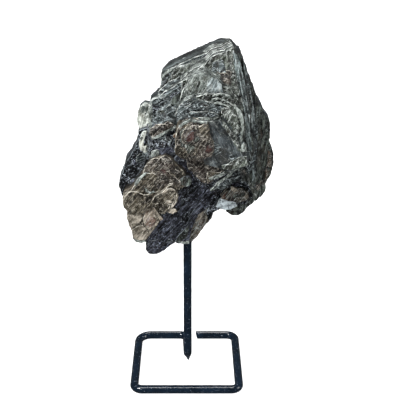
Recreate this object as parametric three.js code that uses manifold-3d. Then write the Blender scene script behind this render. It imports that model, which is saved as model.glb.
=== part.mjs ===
// A mica specimen glued on a stand bent from one steel rod.
// Millimetres, +Z up. X runs to the right, Y runs away from the specimen's front.
// The stone is a stack of "books": bundles of mica sheets that all stand nearly upright and
// face the front or the back, each book ending in thin ledges.

import * as THREE from 'three';
import { mergeVertices } from 'three/addons/utils/BufferGeometryUtils.js';
import Module from 'manifold-3d';

const wasm = await Module();
wasm.setup();

// ---- Driving dimensions. In the tables below x = 0, y = 0 is the upright's axis ----

const ROD_DIAMETER = 5;
const ROD_SIDES = 12;
const RAIL_LEFT = -33;
const RAIL_RIGHT = 32.3;
const RAIL_FRONT = -37.6;
const RAIL_BACK = 24;
const INNER_CORNER_X = -0.8;
const CUT_END_X = 6.2;
const CUT_END_SLANT = 14;
const SHEAR_BLOCK = [4, 10, 20];
const ROD_TOP_Z = 105;
const BEND_STEPS = 6;
const HEEL_DRIP_LENGTH = 3.4;
const HEEL_DRIP_RADIUS = 1.1;
const HEEL_DRIP_MIDDLE = [0.2, -0.8, 1.6];
const HEEL_DRIP_DIP = 20;
const HEEL_DRIP_SIDES = 8;

const HOLE_CLEARANCE = 0.3;
const HOLE_TOP_Z = ROD_TOP_Z + 0.4;
const HOLE_BOTTOM_Z = 60;

const RIM_JITTER = 0.7;
const WELD_TOLERANCE = 1e-4;
// Steps in phase from one book, sheet, rim point and axis to the next in the unevenness.
const WOBBLE_PHASES = { book: 12.99, sheet: 78.23, point: 37.72, axis: 4.58 };
const WOBBLE_GAIN = 43758.5;

// The rod's route along its centre line, from the cut end round the loop and up the upright.
const RAIL_Z = ROD_DIAMETER / 2;
const ROUTE = [
  { at: [CUT_END_X - SHEAR_BLOCK[0] / 2, RAIL_BACK, RAIL_Z], bend: 0 },
  { at: [RAIL_RIGHT, RAIL_BACK, RAIL_Z], bend: 5.5 },
  { at: [RAIL_RIGHT, RAIL_FRONT, RAIL_Z], bend: 5 },
  { at: [RAIL_LEFT, RAIL_FRONT, RAIL_Z], bend: 5 },
  { at: [RAIL_LEFT, RAIL_BACK, RAIL_Z], bend: 8 },
  { at: [INNER_CORNER_X, RAIL_BACK, RAIL_Z], bend: 4.5 },
  { at: [0, 0, RAIL_Z], bend: 3.2 },
  { at: [0, 0, ROD_TOP_Z], bend: 0 },
];

// ---- The stone's books ----
// outline: the exposed face's rim as [x, z] points.
// face, back: y of the exposed face at the rim's middle, and y where the book ends inside.
// lean: how far the face moves in y per mm of x and of z.
// sheets, step: how many ledges the rim has, and how deep each is.
// drift, spread: how far each ledge moves in [x, z], and how far it stands out all round, past
// the one before it (a minus spread steps in).

const CORE_BOOKS = [
  { // the upper half of the body
    face: -8, back: 12, lean: [0, 0.1], sheets: 5, step: 4, drift: [0, -0.9], spread: -0.8,
    outline: [[-14.5, 192], [-8.5, 197.5], [3.5, 202.5], [19.5, 208.5], [26, 208], [31.5, 199],
      [36, 186], [40, 176.5], [41, 161], [40, 143.5], [35.5, 133.5], [16, 125], [-6.5, 131.5],
      [-21.5, 140.5], [-23, 155], [-21, 171], [-15.5, 178]],
  },
  { // the lower half of the body
    face: -6, back: 13, lean: [0, -0.1], sheets: 5, step: 4, drift: [0, 0], spread: -0.8,
    outline: [[-21.5, 149], [7.5, 149], [37, 139.5], [41, 126], [35.5, 114], [23.5, 112],
      [15.5, 108.5], [13.5, 102], [8.5, 95], [2.5, 89], [-7, 87], [-14, 87], [-23, 90],
      [-32, 98.5], [-36, 112.5], [-31, 129.5]],
  },
];

const TOP_BOOKS = [
  { // the highest ledge, at the back
    face: 12, back: 20, lean: [0, 0.15], sheets: 3, step: 2.6, drift: [-0.3, -0.6], spread: -1,
    outline: [[3, 200], [6, 202.5], [13, 205.5], [19.5, 208], [25, 208], [28, 205],
      [30.5, 200.5], [35, 191], [37, 178], [16.5, 177], [-1, 180]],
  },
  { // the middle ledge of the top
    face: 3, back: 13, lean: [0, 0.12], sheets: 4, step: 2.4, drift: [0, -0.5], spread: -0.6,
    outline: [[-15, 189.5], [-14, 192], [-8, 197], [-2, 200.5], [3, 202], [10.5, 202.5],
      [13.5, 204.5], [19, 206.5], [25, 209.5], [27.5, 207], [30.5, 201.5], [34, 193.5],
      [38, 182.5], [36.5, 176.5], [7.5, 171], [-12.5, 176.5]],
  },
  { // the pale ledge at the upper left
    face: -8, back: 5, lean: [-0.05, 0.22], sheets: 4, step: 2.6, drift: [0, -0.3], spread: -0.4,
    outline: [[-14.5, 193.5], [-10, 196.5], [-6, 199], [-2, 199], [3.5, 201], [10.5, 203],
      [14.5, 205.5], [23.5, 209], [27, 209], [30, 202], [24, 186], [7.5, 177.5],
      [-9.5, 178], [-15.5, 182]],
  },
];

const FRONT_BOOKS = [
  { // the broad sheet of the upper front
    face: -19, back: -2, lean: [0.05, 0.16], sheets: 4, step: 2.4, drift: [-0.7, 0.4], spread: 0,
    outline: [[-3, 192], [1.5, 196], [6.5, 199], [10.5, 202.5], [14.5, 206.5], [20.5, 208],
      [25.5, 210.5], [28, 207], [29.5, 200], [32, 192], [35.5, 174.5], [35.5, 167.5],
      [37, 160], [37.5, 153], [35.5, 146.5], [30.5, 142.5], [26, 142], [10, 142.5],
      [-1, 155], [-4, 177]],
  },
  { // the round sheet on it
    face: -22, back: -10, lean: [0.02, 0.1], sheets: 2, step: 1.5, drift: [0.3, 0.6], spread: 0.3,
    outline: [[0.5, 194.5], [4, 197.5], [9, 199], [14, 196], [17, 195], [19, 191.5],
      [19.5, 188.5], [18.5, 186], [11.5, 185], [5, 183.5], [-2, 184.5], [-2.5, 189], [0, 191]],
  },
  { // the sheet with a curved rim
    face: -25, back: -10, lean: [0.08, 0.08], sheets: 4, step: 1.3, drift: [0.5, 0.9], spread: 0.2,
    outline: [[5, 186.5], [11.5, 188], [18.5, 187.5], [23, 185.5], [26, 182], [27.5, 179],
      [30, 176], [31, 170.5], [32, 166], [31, 157.5], [28.5, 155.5], [21, 161.5],
      [12.5, 170.5], [6, 174.5]],
  },
  { // the ledge across the middle
    face: -27, back: -10, lean: [0, 0.12], sheets: 3, step: 1.5, drift: [0.5, 0.8], spread: 0.2,
    outline: [[-5, 180], [-2, 184], [3.5, 186.5], [6.5, 185.5], [11, 184.5], [15, 182.5],
      [17.5, 179], [17, 177], [15, 175.5], [7, 174], [0.5, 174.5], [-3.5, 173], [-6.5, 175.5]],
  },
  { // the smooth dark sheet
    face: -29, back: -12, lean: [0.06, 0.02], sheets: 4, step: 1.5, drift: [0.7, 0.5], spread: 0.2,
    outline: [[9.5, 172.5], [13, 173.5], [18.5, 174.5], [20.5, 173], [23, 169.5], [26.5, 164.5],
      [30, 159], [30, 156], [33, 153], [34, 149], [31.5, 146], [27.5, 144.5], [23, 143.5],
      [17.5, 146], [10, 148.5], [5, 157], [6, 168.5]],
  },
  { // the brown sheet, nearest to the front
    face: -32, back: -14, lean: [0, 0.05], sheets: 4, step: 1.7, drift: [0.2, 0.6], spread: 0.4,
    outline: [[-6.5, 163], [-5.5, 169], [-3.5, 172.5], [1.5, 175], [9.5, 174], [11.5, 172.5],
      [12.5, 167.5], [14.5, 162.5], [15, 157.5], [13.5, 154], [10, 152.5], [5, 150.5],
      [0, 152.5], [-3.5, 154], [-6, 158]],
  },
  { // the shelf under it
    face: -26, back: -8, lean: [0, -0.05], sheets: 3, step: 2, drift: [0.3, -0.5], spread: 0.2,
    outline: [[-0.5, 153], [7.5, 151], [16.5, 150], [26, 145], [26, 142.5], [22, 141.5],
      [17.5, 140], [15.5, 138.5], [13.5, 135], [9, 136], [4.5, 140], [0.5, 145]],
  },
  { // the flake under the shelf
    face: -20, back: -6, lean: [0, -0.1], sheets: 3, step: 1.5, drift: [0, -0.4], spread: 0.2,
    outline: [[10.5, 141.5], [26, 140], [25, 137], [22, 135.5], [18, 133.5], [15.5, 130.5],
      [13.5, 128.5], [10, 131.5], [6.5, 136.5]],
  },
];

const LEFT_BOOKS = [
  { // the slate panel at the left
    face: -17, back: -4, lean: [-0.1, 0.06], sheets: 5, step: 2.2, drift: [0.5, -0.7], spread: 0,
    outline: [[-20.5, 180.5], [-19, 182.5], [-15.5, 183.5], [-11.5, 187], [-7, 189.5],
      [-1.5, 193.5], [0.5, 187.5], [-1.5, 182], [-4, 175], [-4, 169.5], [-6.5, 166.5],
      [-12, 163.5], [-16, 161], [-20, 159], [-21.5, 166]],
  },
  { // the dark hollow under it
    face: -12, back: 0, lean: [-0.1, 0], sheets: 2, step: 3, drift: [-0.5, 0], spread: 0.2,
    outline: [[-21, 161], [-12.5, 164], [-5, 166.5], [-3, 157], [-4, 146], [-10.5, 145.5],
      [-16.5, 144], [-21, 143], [-21.5, 150.5]],
  },
  { // the upper pale flake
    face: -3, back: 3, lean: [-0.15, 0], sheets: 3, step: 1.8, drift: [0.3, -0.5], spread: -0.5,
    outline: [[-24.5, 176], [-26.5, 174], [-28.5, 169.5], [-29, 165], [-28, 160], [-27.5, 158],
      [-23.5, 159], [-18, 163], [-18, 172], [-21.5, 175.5]],
  },
  { // the lower pale flake
    face: -7, back: 2, lean: [-0.15, 0], sheets: 3, step: 1.8, drift: [0.3, 0], spread: -0.4,
    outline: [[-27, 156.5], [-28, 152], [-27.5, 148.5], [-25, 146.5], [-20, 149],
      [-19, 155.5], [-20, 161.5], [-25, 160.5], [-26.5, 159]],
  },
  { // the black lobe at the left
    face: -1, back: 12, lean: [-0.25, -0.05], sheets: 5, step: 2.6, drift: [1, -0.8], spread: -0.7,
    outline: [[-28, 159], [-29, 153], [-33.5, 143.5], [-36.5, 138], [-38.5, 132.5],
      [-41, 126.5], [-41.5, 123], [-41, 120.5], [-39.5, 116], [-36.5, 113.5], [-25.5, 113.5],
      [-17, 138.5], [-16.5, 154.5], [-22.5, 161.5]],
  },
];

const LOWER_BOOKS = [
  { // the olive slab of the lower left
    face: -21, back: -3, lean: [-0.12, 0.05], sheets: 5, step: 2.6, drift: [0.3, 0.2], spread: -0.3,
    outline: [[-21, 147], [-16.5, 148], [-10.5, 149.5], [-5, 148.5], [0, 145], [2, 136.5],
      [-1.5, 130.5], [-4.5, 125], [-10, 120], [-17, 116], [-24, 117], [-31, 113.5],
      [-34.5, 114.5], [-36.5, 117], [-38, 121], [-37, 124.5], [-34, 127], [-30, 131.5],
      [-27.5, 136.5], [-25, 139], [-23.5, 142.5]],
  },
  { // the flap lying on it
    face: -26, back: -12, lean: [-0.05, 0], sheets: 3, step: 1.5, drift: [0.2, 0.5], spread: 0.3,
    outline: [[-20.5, 124.5], [-18.5, 127.5], [-14, 131], [-10, 134.5], [-8, 135], [-6, 132.5],
      [-5, 129], [-5.5, 126.5], [-8, 123], [-10.5, 119.5], [-13.5, 116], [-15, 117.5],
      [-17.5, 121], [-19.5, 121]],
  },
  { // the pale slab under it
    face: -17, back: 0, lean: [-0.1, -0.08], sheets: 5, step: 2.6, drift: [0.4, 0.2], spread: -0.4,
    outline: [[-35, 113], [-35.5, 108.5], [-33, 103], [-33, 98], [-32, 95.5], [-28.5, 93.5],
      [-25.5, 93], [-20, 94], [-14, 100], [-13, 108], [-14.5, 112], [-17, 117], [-22, 119.5],
      [-27.5, 118], [-33.5, 116]],
  },
  { // the dark foot that holds the rod
    face: -14, back: 8, lean: [0.12, -0.12], sheets: 6, step: 3, drift: [0.3, 0], spread: -0.4,
    outline: [[-25.5, 93.5], [-25, 86.5], [-23.5, 84.5], [-20.5, 83.5], [-16, 85], [-12.5, 87],
      [-7, 90.5], [-1.5, 89.5], [2.5, 90.5], [5, 93], [8.5, 99.5], [10.5, 110], [11.5, 123],
      [10, 133.5], [3, 135], [-1.5, 126.5], [-5.5, 114.5], [-14.5, 107], [-23, 96.5]],
  },
  { // the rusty edge beside the foot
    face: -6, back: 6, lean: [0.4, -0.05], sheets: 4, step: 2.6, drift: [-0.2, 0.2], spread: -0.5,
    outline: [[18.5, 109.5], [16.5, 108.5], [15, 103.5], [11, 99.5], [8.5, 96], [5, 91.5],
      [3, 89.5], [-2, 92], [0, 108.5], [9.5, 124], [15, 127], [19.5, 122.5], [22, 115]],
  },
];

const RIGHT_BOOKS = [
  { // the steep flank at the right
    face: -10, back: 8, lean: [0.55, 0.05], sheets: 5, step: 3, drift: [-0.7, -0.7], spread: -0.6,
    outline: [[26, 209], [29.5, 206.5], [33, 198], [37, 186.5], [41, 177], [41.5, 164],
      [43.5, 148.5], [44, 136.5], [39.5, 125], [32, 132], [28, 151], [26.5, 175], [25.5, 197.5]],
  },
  { // the dark lobe at the right
    face: -2, back: 12, lean: [0.45, -0.05], sheets: 5, step: 2.8, drift: [-0.6, 0], spread: -0.9,
    outline: [[37, 181.5], [39.5, 180], [42, 175.5], [45, 169], [48, 164.5], [48.5, 160.5],
      [48.5, 152.5], [50.5, 145], [52, 138], [51, 132], [50, 129.5], [48, 125.5],
      [47, 119.5], [45, 116], [41.5, 113.5], [39, 116], [36, 119.5], [33, 131.5],
      [31, 148.5], [31, 167]],
  },
  { // the small lobe under it
    face: 0, back: 11, lean: [0.1, -0.1], sheets: 4, step: 2.6, drift: [-0.2, 0.4], spread: -0.4,
    outline: [[24, 106.5], [25.5, 105], [28, 103], [31.5, 103.5], [35.5, 106.5], [37.5, 109.5],
      [41, 112.5], [41.5, 120], [35, 127], [23, 124], [21, 114]],
  },
  { // the fan-shaped flake in the right recess
    face: -10, back: 0, lean: [0.05, 0.1], sheets: 3, step: 1.6, drift: [0, 0.5], spread: 0.3,
    outline: [[20, 119.5], [23.5, 124], [27.5, 125.5], [32.5, 125.5], [36, 123], [37, 119.5],
      [34, 117.5], [31, 116.5], [25.5, 117]],
  },
  { // the white feldspar grain under it
    face: -9, back: 3, lean: [0, 0], sheets: 3, step: 1.8, drift: [0.3, 0.2], spread: -0.4,
    outline: [[19, 118.5], [22, 120], [25.5, 118.5], [29, 117.5], [29.5, 114], [26.5, 111.5],
      [23, 111], [19.5, 112], [17, 113.5]],
  },
];

const BACK_BOOKS = [
  { // the broad body of the back
    face: 17, back: 4, lean: [0, 0.05], sheets: 5, step: 2.4, drift: [0.2, 0.3], spread: 0.9,
    outline: [[-10, 188], [5, 196], [20, 199], [29, 192], [34, 178], [40, 160], [43, 140],
      [41, 127], [33, 118], [20, 112], [6, 99], [-8, 95], [-20, 102], [-29, 114],
      [-30, 138], [-20, 156], [-17, 175]],
  },
  { // the upper back sheet
    face: 23, back: 12, lean: [-0.05, 0.08], sheets: 4, step: 1.6, drift: [-0.9, -0.4], spread: 0.4,
    outline: [[0, 186], [14, 192], [25, 189], [31, 176], [29, 160], [16, 153], [3, 160],
      [-5, 173]],
  },
  { // the lower back sheet
    face: 22, back: 10, lean: [0.04, -0.06], sheets: 4, step: 1.6, drift: [0.8, -0.5], spread: 0.4,
    outline: [[-20, 144], [-4, 152], [12, 146], [22, 132], [14, 116], [-4, 107],
      [-18, 114], [-25, 130]],
  },
  { // the right back sheet
    face: 20, back: 10, lean: [-0.1, 0], sheets: 3, step: 1.8, drift: [-0.7, 0.5], spread: 0.4,
    outline: [[26, 157], [36, 153], [41, 140], [38, 127], [28, 121], [20, 132], [21, 149]],
  },
  { // a flake on the upper back sheet
    face: 26, back: 14, lean: [-0.05, 0.08], sheets: 3, step: 1.2, drift: [0.7, -0.7], spread: 0.3,
    outline: [[6, 179], [15, 184], [24, 177], [23, 166], [11, 163], [3, 169]],
  },
  { // a flake on the lower back sheet
    face: 25, back: 14, lean: [0.04, -0.06], sheets: 3, step: 1.2, drift: [-0.8, 0.6], spread: 0.3,
    outline: [[-14, 139], [-4, 144], [6, 138], [9, 126], [-2, 118], [-14, 122], [-19, 131]],
  },
];

const BOOKS = [
  ...CORE_BOOKS, ...TOP_BOOKS, ...FRONT_BOOKS, ...LEFT_BOOKS,
  ...LOWER_BOOKS, ...RIGHT_BOOKS, ...BACK_BOOKS,
];

// ---- Solids: joining and cutting closed meshes ----

function toSolid(geometry) {
  const bare = geometry.clone();
  bare.deleteAttribute('normal');
  bare.deleteAttribute('uv');
  const merged = mergeVertices(bare, WELD_TOLERANCE);
  return new wasm.Manifold(new wasm.Mesh({
    numProp: 3,
    vertProperties: new Float32Array(merged.attributes.position.array),
    triVerts: new Uint32Array(merged.index.array),
  }));
}

function toGeometry(solid) {
  const mesh = solid.getMesh();
  const geometry = new THREE.BufferGeometry();
  geometry.setAttribute('position', new THREE.BufferAttribute(mesh.vertProperties, 3));
  geometry.setIndex(new THREE.BufferAttribute(mesh.triVerts, 1));
  geometry.computeVertexNormals();
  return geometry;
}

function join(solids) {
  return solids.reduce((whole, solid) => whole.add(solid));
}

// ---- The rod ----

// A regular section whose flat sides lie at the given radius, one of them facing down.
function rodSection(radius) {
  const cornerRadius = radius / Math.cos(Math.PI / ROD_SIDES);
  const corners = [];
  for (let i = 0; i < ROD_SIDES; i += 1) {
    const angle = (i + 0.5) * 2 * Math.PI / ROD_SIDES;
    corners.push(new THREE.Vector2(cornerRadius * Math.cos(angle), cornerRadius * Math.sin(angle)));
  }
  return new THREE.Shape(corners);
}

// The points and directions along a route: both ends, and BEND_STEPS + 1 in each bend.
function routeStations(route) {
  const points = route.map(({ at }) => new THREE.Vector3(...at));
  const stations = [];
  for (let i = 0; i < points.length; i += 1) {
    const before = points[Math.max(i - 1, 0)];
    const after = points[Math.min(i + 1, points.length - 1)];
    const arriving = points[i].clone().sub(before).normalize();
    const leaving = after.clone().sub(points[i]).normalize();
    if (route[i].bend === 0) {
      const direction = arriving.lengthSq() > 0 ? arriving : leaving;
      stations.push({ point: points[i], direction });
      continue;
    }
    stations.push(...bendStations(points[i], arriving, leaving, route[i].bend));
  }
  return stations;
}

function bendStations(corner, arriving, leaving, radius) {
  const turn = arriving.angleTo(leaving);
  const reach = radius * Math.tan(turn / 2);
  const start = corner.clone().addScaledVector(arriving, -reach);
  const inward = leaving.clone().addScaledVector(arriving, -arriving.dot(leaving)).normalize();
  const stations = [];
  for (let i = 0; i <= BEND_STEPS; i += 1) {
    const angle = turn * i / BEND_STEPS;
    const point = start.clone()
      .addScaledVector(arriving, radius * Math.sin(angle))
      .addScaledVector(inward, radius * (1 - Math.cos(angle)));
    const direction = arriving.clone().multiplyScalar(Math.cos(angle))
      .addScaledVector(inward, Math.sin(angle));
    stations.push({ point, direction });
  }
  return stations;
}

// A curve that is read only at its stations, so that a sweep has a section at each of them.
class StationCurve extends THREE.Curve {
  constructor(stations) {
    super();
    this.stations = stations;
  }

  stationAt(u) {
    return this.stations[Math.round(u * (this.stations.length - 1))];
  }

  getPointAt(u) {
    return this.stationAt(u).point.clone();
  }

  getTangentAt(u) {
    return this.stationAt(u).direction.clone();
  }
}

function wireStandGeometry() {
  const stations = routeStations(ROUTE);
  const sweep = new THREE.ExtrudeGeometry(rodSection(ROD_DIAMETER / 2), {
    steps: stations.length - 1,
    extrudePath: new StationCurve(stations),
  });
  // Sheared off at a slant: the top of the end reaches further than its bottom.
  const shear = new THREE.BoxGeometry(...SHEAR_BLOCK)
    .translate(-SHEAR_BLOCK[0] / 2, 0, 0)
    .rotateY(THREE.MathUtils.degToRad(-CUT_END_SLANT))
    .translate(CUT_END_X, RAIL_BACK, RAIL_Z);
  // The lacquer dried in a point at the heel, where the rod was hung to drain.
  const drip = new THREE.ConeGeometry(HEEL_DRIP_RADIUS, HEEL_DRIP_LENGTH, HEEL_DRIP_SIDES)
    .rotateX(Math.PI + THREE.MathUtils.degToRad(HEEL_DRIP_DIP))
    .translate(...HEEL_DRIP_MIDDLE);
  return toGeometry(toSolid(sweep).subtract(toSolid(shear)).add(toSolid(drip)));
}

// ---- The stone ----

// A repeatable value between -0.5 and 0.5 for each book, sheet and rim point.
function wobble(book, sheet, point, axis) {
  const phase = book * WOBBLE_PHASES.book + sheet * WOBBLE_PHASES.sheet
    + point * WOBBLE_PHASES.point + axis * WOBBLE_PHASES.axis;
  const wave = Math.sin(phase) * WOBBLE_GAIN;
  return wave - Math.floor(wave) - 0.5;
}

function rimMiddle(outline) {
  const sum = outline.reduce(([x, z], point) => [x + point[0], z + point[1]], [0, 0]);
  return sum.map((value) => value / outline.length);
}

// One sheet's rim: the book's outline, moved, spread out all round and slightly uneven.
function sheetRim({ outline, drift, spread }, middle, bookIndex, sheet) {
  const jitter = sheet === 0 ? 0 : RIM_JITTER;
  return outline.map(([x, z], i) => {
    const dx = x - middle[0];
    const dz = z - middle[1];
    const scale = 1 + sheet * spread / Math.hypot(dx, dz);
    return new THREE.Vector2(
      middle[0] + dx * scale + sheet * drift[0] + jitter * wobble(bookIndex, sheet, i, 0),
      middle[1] + dz * scale + sheet * drift[1] + jitter * wobble(bookIndex, sheet, i, 1),
    );
  });
}

function sheetSolid(rim, nearY, farY, lean, middle) {
  const slab = new THREE.ExtrudeGeometry(new THREE.Shape(rim), {
    depth: farY - nearY,
    bevelEnabled: false,
  });
  slab.rotateX(Math.PI / 2).translate(0, farY, 0);
  slab.applyMatrix4(new THREE.Matrix4().set(
    1, 0, 0, 0,
    lean[0], 1, lean[1], -lean[0] * middle[0] - lean[1] * middle[1],
    0, 0, 1, 0,
    0, 0, 0, 1,
  ));
  return toSolid(slab);
}

function bookSolid(book, bookIndex) {
  const middle = rimMiddle(book.outline);
  const inward = Math.sign(book.back - book.face);
  const sheets = [];
  for (let sheet = 0; sheet < book.sheets; sheet += 1) {
    const top = book.face + inward * sheet * book.step;
    const rim = sheetRim(book, middle, bookIndex, sheet);
    const nearY = Math.min(top, book.back);
    const farY = Math.max(top, book.back);
    sheets.push(sheetSolid(rim, nearY, farY, book.lean, middle));
  }
  return join(sheets);
}

function micaMassGeometry() {
  const hole = new THREE.ExtrudeGeometry(rodSection(ROD_DIAMETER / 2 + HOLE_CLEARANCE), {
    depth: HOLE_TOP_Z - HOLE_BOTTOM_Z,
    bevelEnabled: false,
  }).translate(0, 0, HOLE_BOTTOM_Z);
  return toGeometry(join(BOOKS.map(bookSolid)).subtract(toSolid(hole)));
}

// ---- The assembly ----

const enamel = new THREE.MeshStandardMaterial({ color: 0x101318, roughness: 0.3, metalness: 0.2 });
const mica = new THREE.MeshStandardMaterial({ color: 0x54524b, roughness: 0.4, metalness: 0.1 });

const wireStand = new THREE.Mesh(wireStandGeometry(), enamel);
wireStand.name = 'wire_stand';

const micaMass = new THREE.Mesh(micaMassGeometry(), mica);
micaMass.name = 'mica_mass';

// The origin is moved to the table under the middle of the whole object.
const specimen = new THREE.Group();
specimen.add(wireStand, micaMass);
const middle = new THREE.Box3().setFromObject(specimen).getCenter(new THREE.Vector3());
specimen.position.set(-middle.x, -middle.y, 0);
specimen.updateMatrixWorld(true);

export default specimen;
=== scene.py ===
"""A mica specimen glued on a stand that is bent from one steel rod.

Lengths are millimetres in the maker's frame, but for the stage, which is in metres: the drilled
hole's axis stands at x = 0, y = 0, the table is z = 0, and -Y is the specimen's show side.
"""
import math
import random

import bpy
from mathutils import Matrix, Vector, noise
from mathutils.geometry import delaunay_2d_cdt
from mathutils.kdtree import KDTree


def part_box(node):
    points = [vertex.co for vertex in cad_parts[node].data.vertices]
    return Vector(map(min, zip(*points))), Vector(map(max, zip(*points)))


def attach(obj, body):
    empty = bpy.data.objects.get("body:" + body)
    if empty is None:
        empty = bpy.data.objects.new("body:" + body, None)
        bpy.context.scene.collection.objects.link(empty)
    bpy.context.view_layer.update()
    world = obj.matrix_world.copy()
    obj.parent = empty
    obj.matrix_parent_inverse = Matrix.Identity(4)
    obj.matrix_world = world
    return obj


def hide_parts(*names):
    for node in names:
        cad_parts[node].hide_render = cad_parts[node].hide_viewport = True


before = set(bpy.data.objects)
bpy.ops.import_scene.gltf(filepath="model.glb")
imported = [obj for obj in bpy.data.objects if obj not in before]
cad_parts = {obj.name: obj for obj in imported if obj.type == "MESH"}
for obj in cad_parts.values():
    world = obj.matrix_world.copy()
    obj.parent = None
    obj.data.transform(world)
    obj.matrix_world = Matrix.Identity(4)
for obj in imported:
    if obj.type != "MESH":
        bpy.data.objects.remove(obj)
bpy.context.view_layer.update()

MM = 0.001
STONE_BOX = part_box("mica_mass")
STAND_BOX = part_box("wire_stand")

# ---- Stand: sizes of the bent rod ----

ROD_RADIUS = 2.5
LACQUER = 0.16
COATED_RADIUS = ROD_RADIUS + LACQUER
LACQUER_UNEVENNESS = 0.04
LACQUER_WAVE = 4

# Centre lines of the rails and of the upright, and the rod's two ends.
RAIL_LEFT = -33
RAIL_RIGHT = 32.3
RAIL_FRONT = -37.6
RAIL_BACK = 24
INNER_CORNER_X = -0.8
UPRIGHT_X = 0.2
CUT_END_X = 6.2
CUT_END_SLANT = math.radians(14)
ROD_TOP_Z = 105

# The drilled hole: its tool starts well below the stone.
HOLE_START_Z = 60
HOLE_CLEARANCE = 0.3
HOLE_SPARE_DEPTH = 0.4

# The run of lacquer that set as a point at the upright's heel.
DRIP_ROOT = Vector((0.6, 0.9, 0.45))
DRIP_LENGTH = 4.2
DRIP_WIDTH = 1.0

# How finely the rod is modelled: its section's sides, a bend's steps, a straight step's length.
ROD_SIDES = 28
BEND_STEPS = 16
STRAIGHT_STEP = 2.5

# Edges sharper than these angles, in degrees, don't look rounded off.
ROD_CREASE = 40
STONE_CREASE = 28

# From the maker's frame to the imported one: the stand's left and back sides lie on its box.
SHIFT_X = STAND_BOX[0][0] / MM - (RAIL_LEFT - ROD_RADIUS)
SHIFT_Y = STAND_BOX[1][1] / MM - (RAIL_BACK + ROD_RADIUS)


def placed(x, y, z):
    """A point of the maker's frame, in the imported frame's metres."""
    return Vector(((x + SHIFT_X) * MM, (y + SHIFT_Y) * MM, z * MM))


# ---- Outlines: closed lines of (x, z) points ----

def middle_of(outline):
    """The mean of an outline's points."""
    return (sum(x for x, _ in outline) / len(outline), sum(z for _, z in outline) / len(outline))


def extent_of(outline):
    """The lowest and highest x, and the lowest and highest z."""
    xs = [x for x, _ in outline]
    zs = [z for _, z in outline]
    return min(xs), max(xs), min(zs), max(zs)


def area_of(outline):
    """Signed area, positive where the outline runs anticlockwise."""
    pairs = zip(outline, outline[1:] + outline[:1])
    return sum(ax * bz - bx * az for (ax, az), (bx, bz) in pairs) / 2


def anticlockwise(outline):
    """The same outline, turned round if it runs clockwise."""
    return outline if area_of(outline) > 0 else outline[::-1]


def resampled(outline, pitch):
    """The same closed line with a point about every pitch."""
    points = []
    for (ax, az), (bx, bz) in zip(outline, outline[1:] + outline[:1]):
        count = max(1, round(math.hypot(bx - ax, bz - az) / pitch))
        points += [(ax + (bx - ax) * i / count, az + (bz - az) * i / count)
                   for i in range(count)]
    return points


def outward_at(ring):
    """The outward direction at each point of an anticlockwise ring, smoothed over neighbours."""
    count = len(ring)
    directions = []
    for i in range(count):
        ax, az = ring[i - 2]
        bx, bz = ring[(i + 2) % count]
        length = math.hypot(bx - ax, bz - az) or 1
        directions.append(((bz - az) / length, -(bx - ax) / length))
    return directions


def pushed(ring, amounts):
    """A ring with each point moved outward by its own amount."""
    return [(x + dx * amount, z + dz * amount)
            for (x, z), (dx, dz), amount in zip(ring, outward_at(ring), amounts)]


def is_inside(x, z, ring):
    """True where a point lies inside a ring."""
    inside = False
    for (ax, az), (bx, bz) in zip(ring, ring[1:] + ring[:1]):
        if (az > z) != (bz > z) and x < ax + (z - az) * (bx - ax) / (bz - az):
            inside = not inside
    return inside


def uneven(x, z, layer, wave, octaves=2):
    """Smooth unevenness of about -1 to 1 that repeats over about the given length."""
    return noise.fractal(Vector((x / wave, z / wave, layer)), 0.8, 2.1, octaves)


# ---- Stone: its books of mica sheets ----

# What makes every face uneven: a swell that all books share, a buckle of each sheet's own and
# grit, each with its wavelength. A ripple is so many times longer than it is wide.
SWELL = 0.4
SWELL_WAVE = 24
BUCKLE = 0.15
BUCKLE_WAVE = 9
GRIT = 0.05
GRIT_WAVE = 3
RIPPLE_STRETCH = 4


class Book:
    """A stack of mica sheets that ends in an exposed face, on the stone's front or on its back.

    face and back are y at the outline's middle, of the exposed face and where the book ends
    inside. lean is how far the face moves in y per mm of x and of z. Its ledges are one step
    deep each, and each one moves by drift and stands out by spread all round. grain is the angle
    of the ripples, their pitch and their height. flakes is how many lie on the face, as a share
    of the usual number. name and number, which set the book's own tears and ripples, are given
    once the tables are whole.
    """

    def __init__(self, finish, face, back, lean, step, drift, spread, outline,
                 grain=(20, 5, 0.25), flakes=1.0):
        self.finish = finish
        self.face = face
        self.back = back
        self.lean = lean
        self.step = step
        self.drift = drift
        self.spread = spread
        self.outline = outline
        self.grain = grain
        self.flakes = flakes
        self.name = None
        self.number = None
        self.facing = -1 if face < back else 1
        self.middle = middle_of(outline)

    def plane_y(self, level, x, z):
        """The y of the plane that runs along the face, with its middle at this level."""
        return level + self.lean[0] * (x - self.middle[0]) + self.lean[1] * (z - self.middle[1])

    def dip(self, x, z, shift):
        """How far the face sinks into the stone below its plane. shift differs for each sheet."""
        angle, pitch, height = self.grain
        turn = math.radians(angle)
        along = x * math.cos(turn) + z * math.sin(turn)
        across = -x * math.sin(turn) + z * math.cos(turn)
        number = self.number
        ripple = noise.noise(Vector((along / (RIPPLE_STRETCH * pitch), across / pitch,
                                     number * 3.7 + shift)))
        return (SWELL * uneven(x, z, 1.5, SWELL_WAVE)
                + BUCKLE * uneven(x, z, number * 5.1 + shift, BUCKLE_WAVE)
                + height * (0.5 - abs(ripple)) + GRIT * uneven(x, z, number + 0.3, GRIT_WAVE))

    def face_y(self, level, x, z, shift=0.0, lift=0.0):
        """The y of a rippled face at this level, lifted out of the stone by so much."""
        plane = self.plane_y(level, x, z)
        return plane - self.facing * self.dip(x, z, shift) + self.facing * lift


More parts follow.
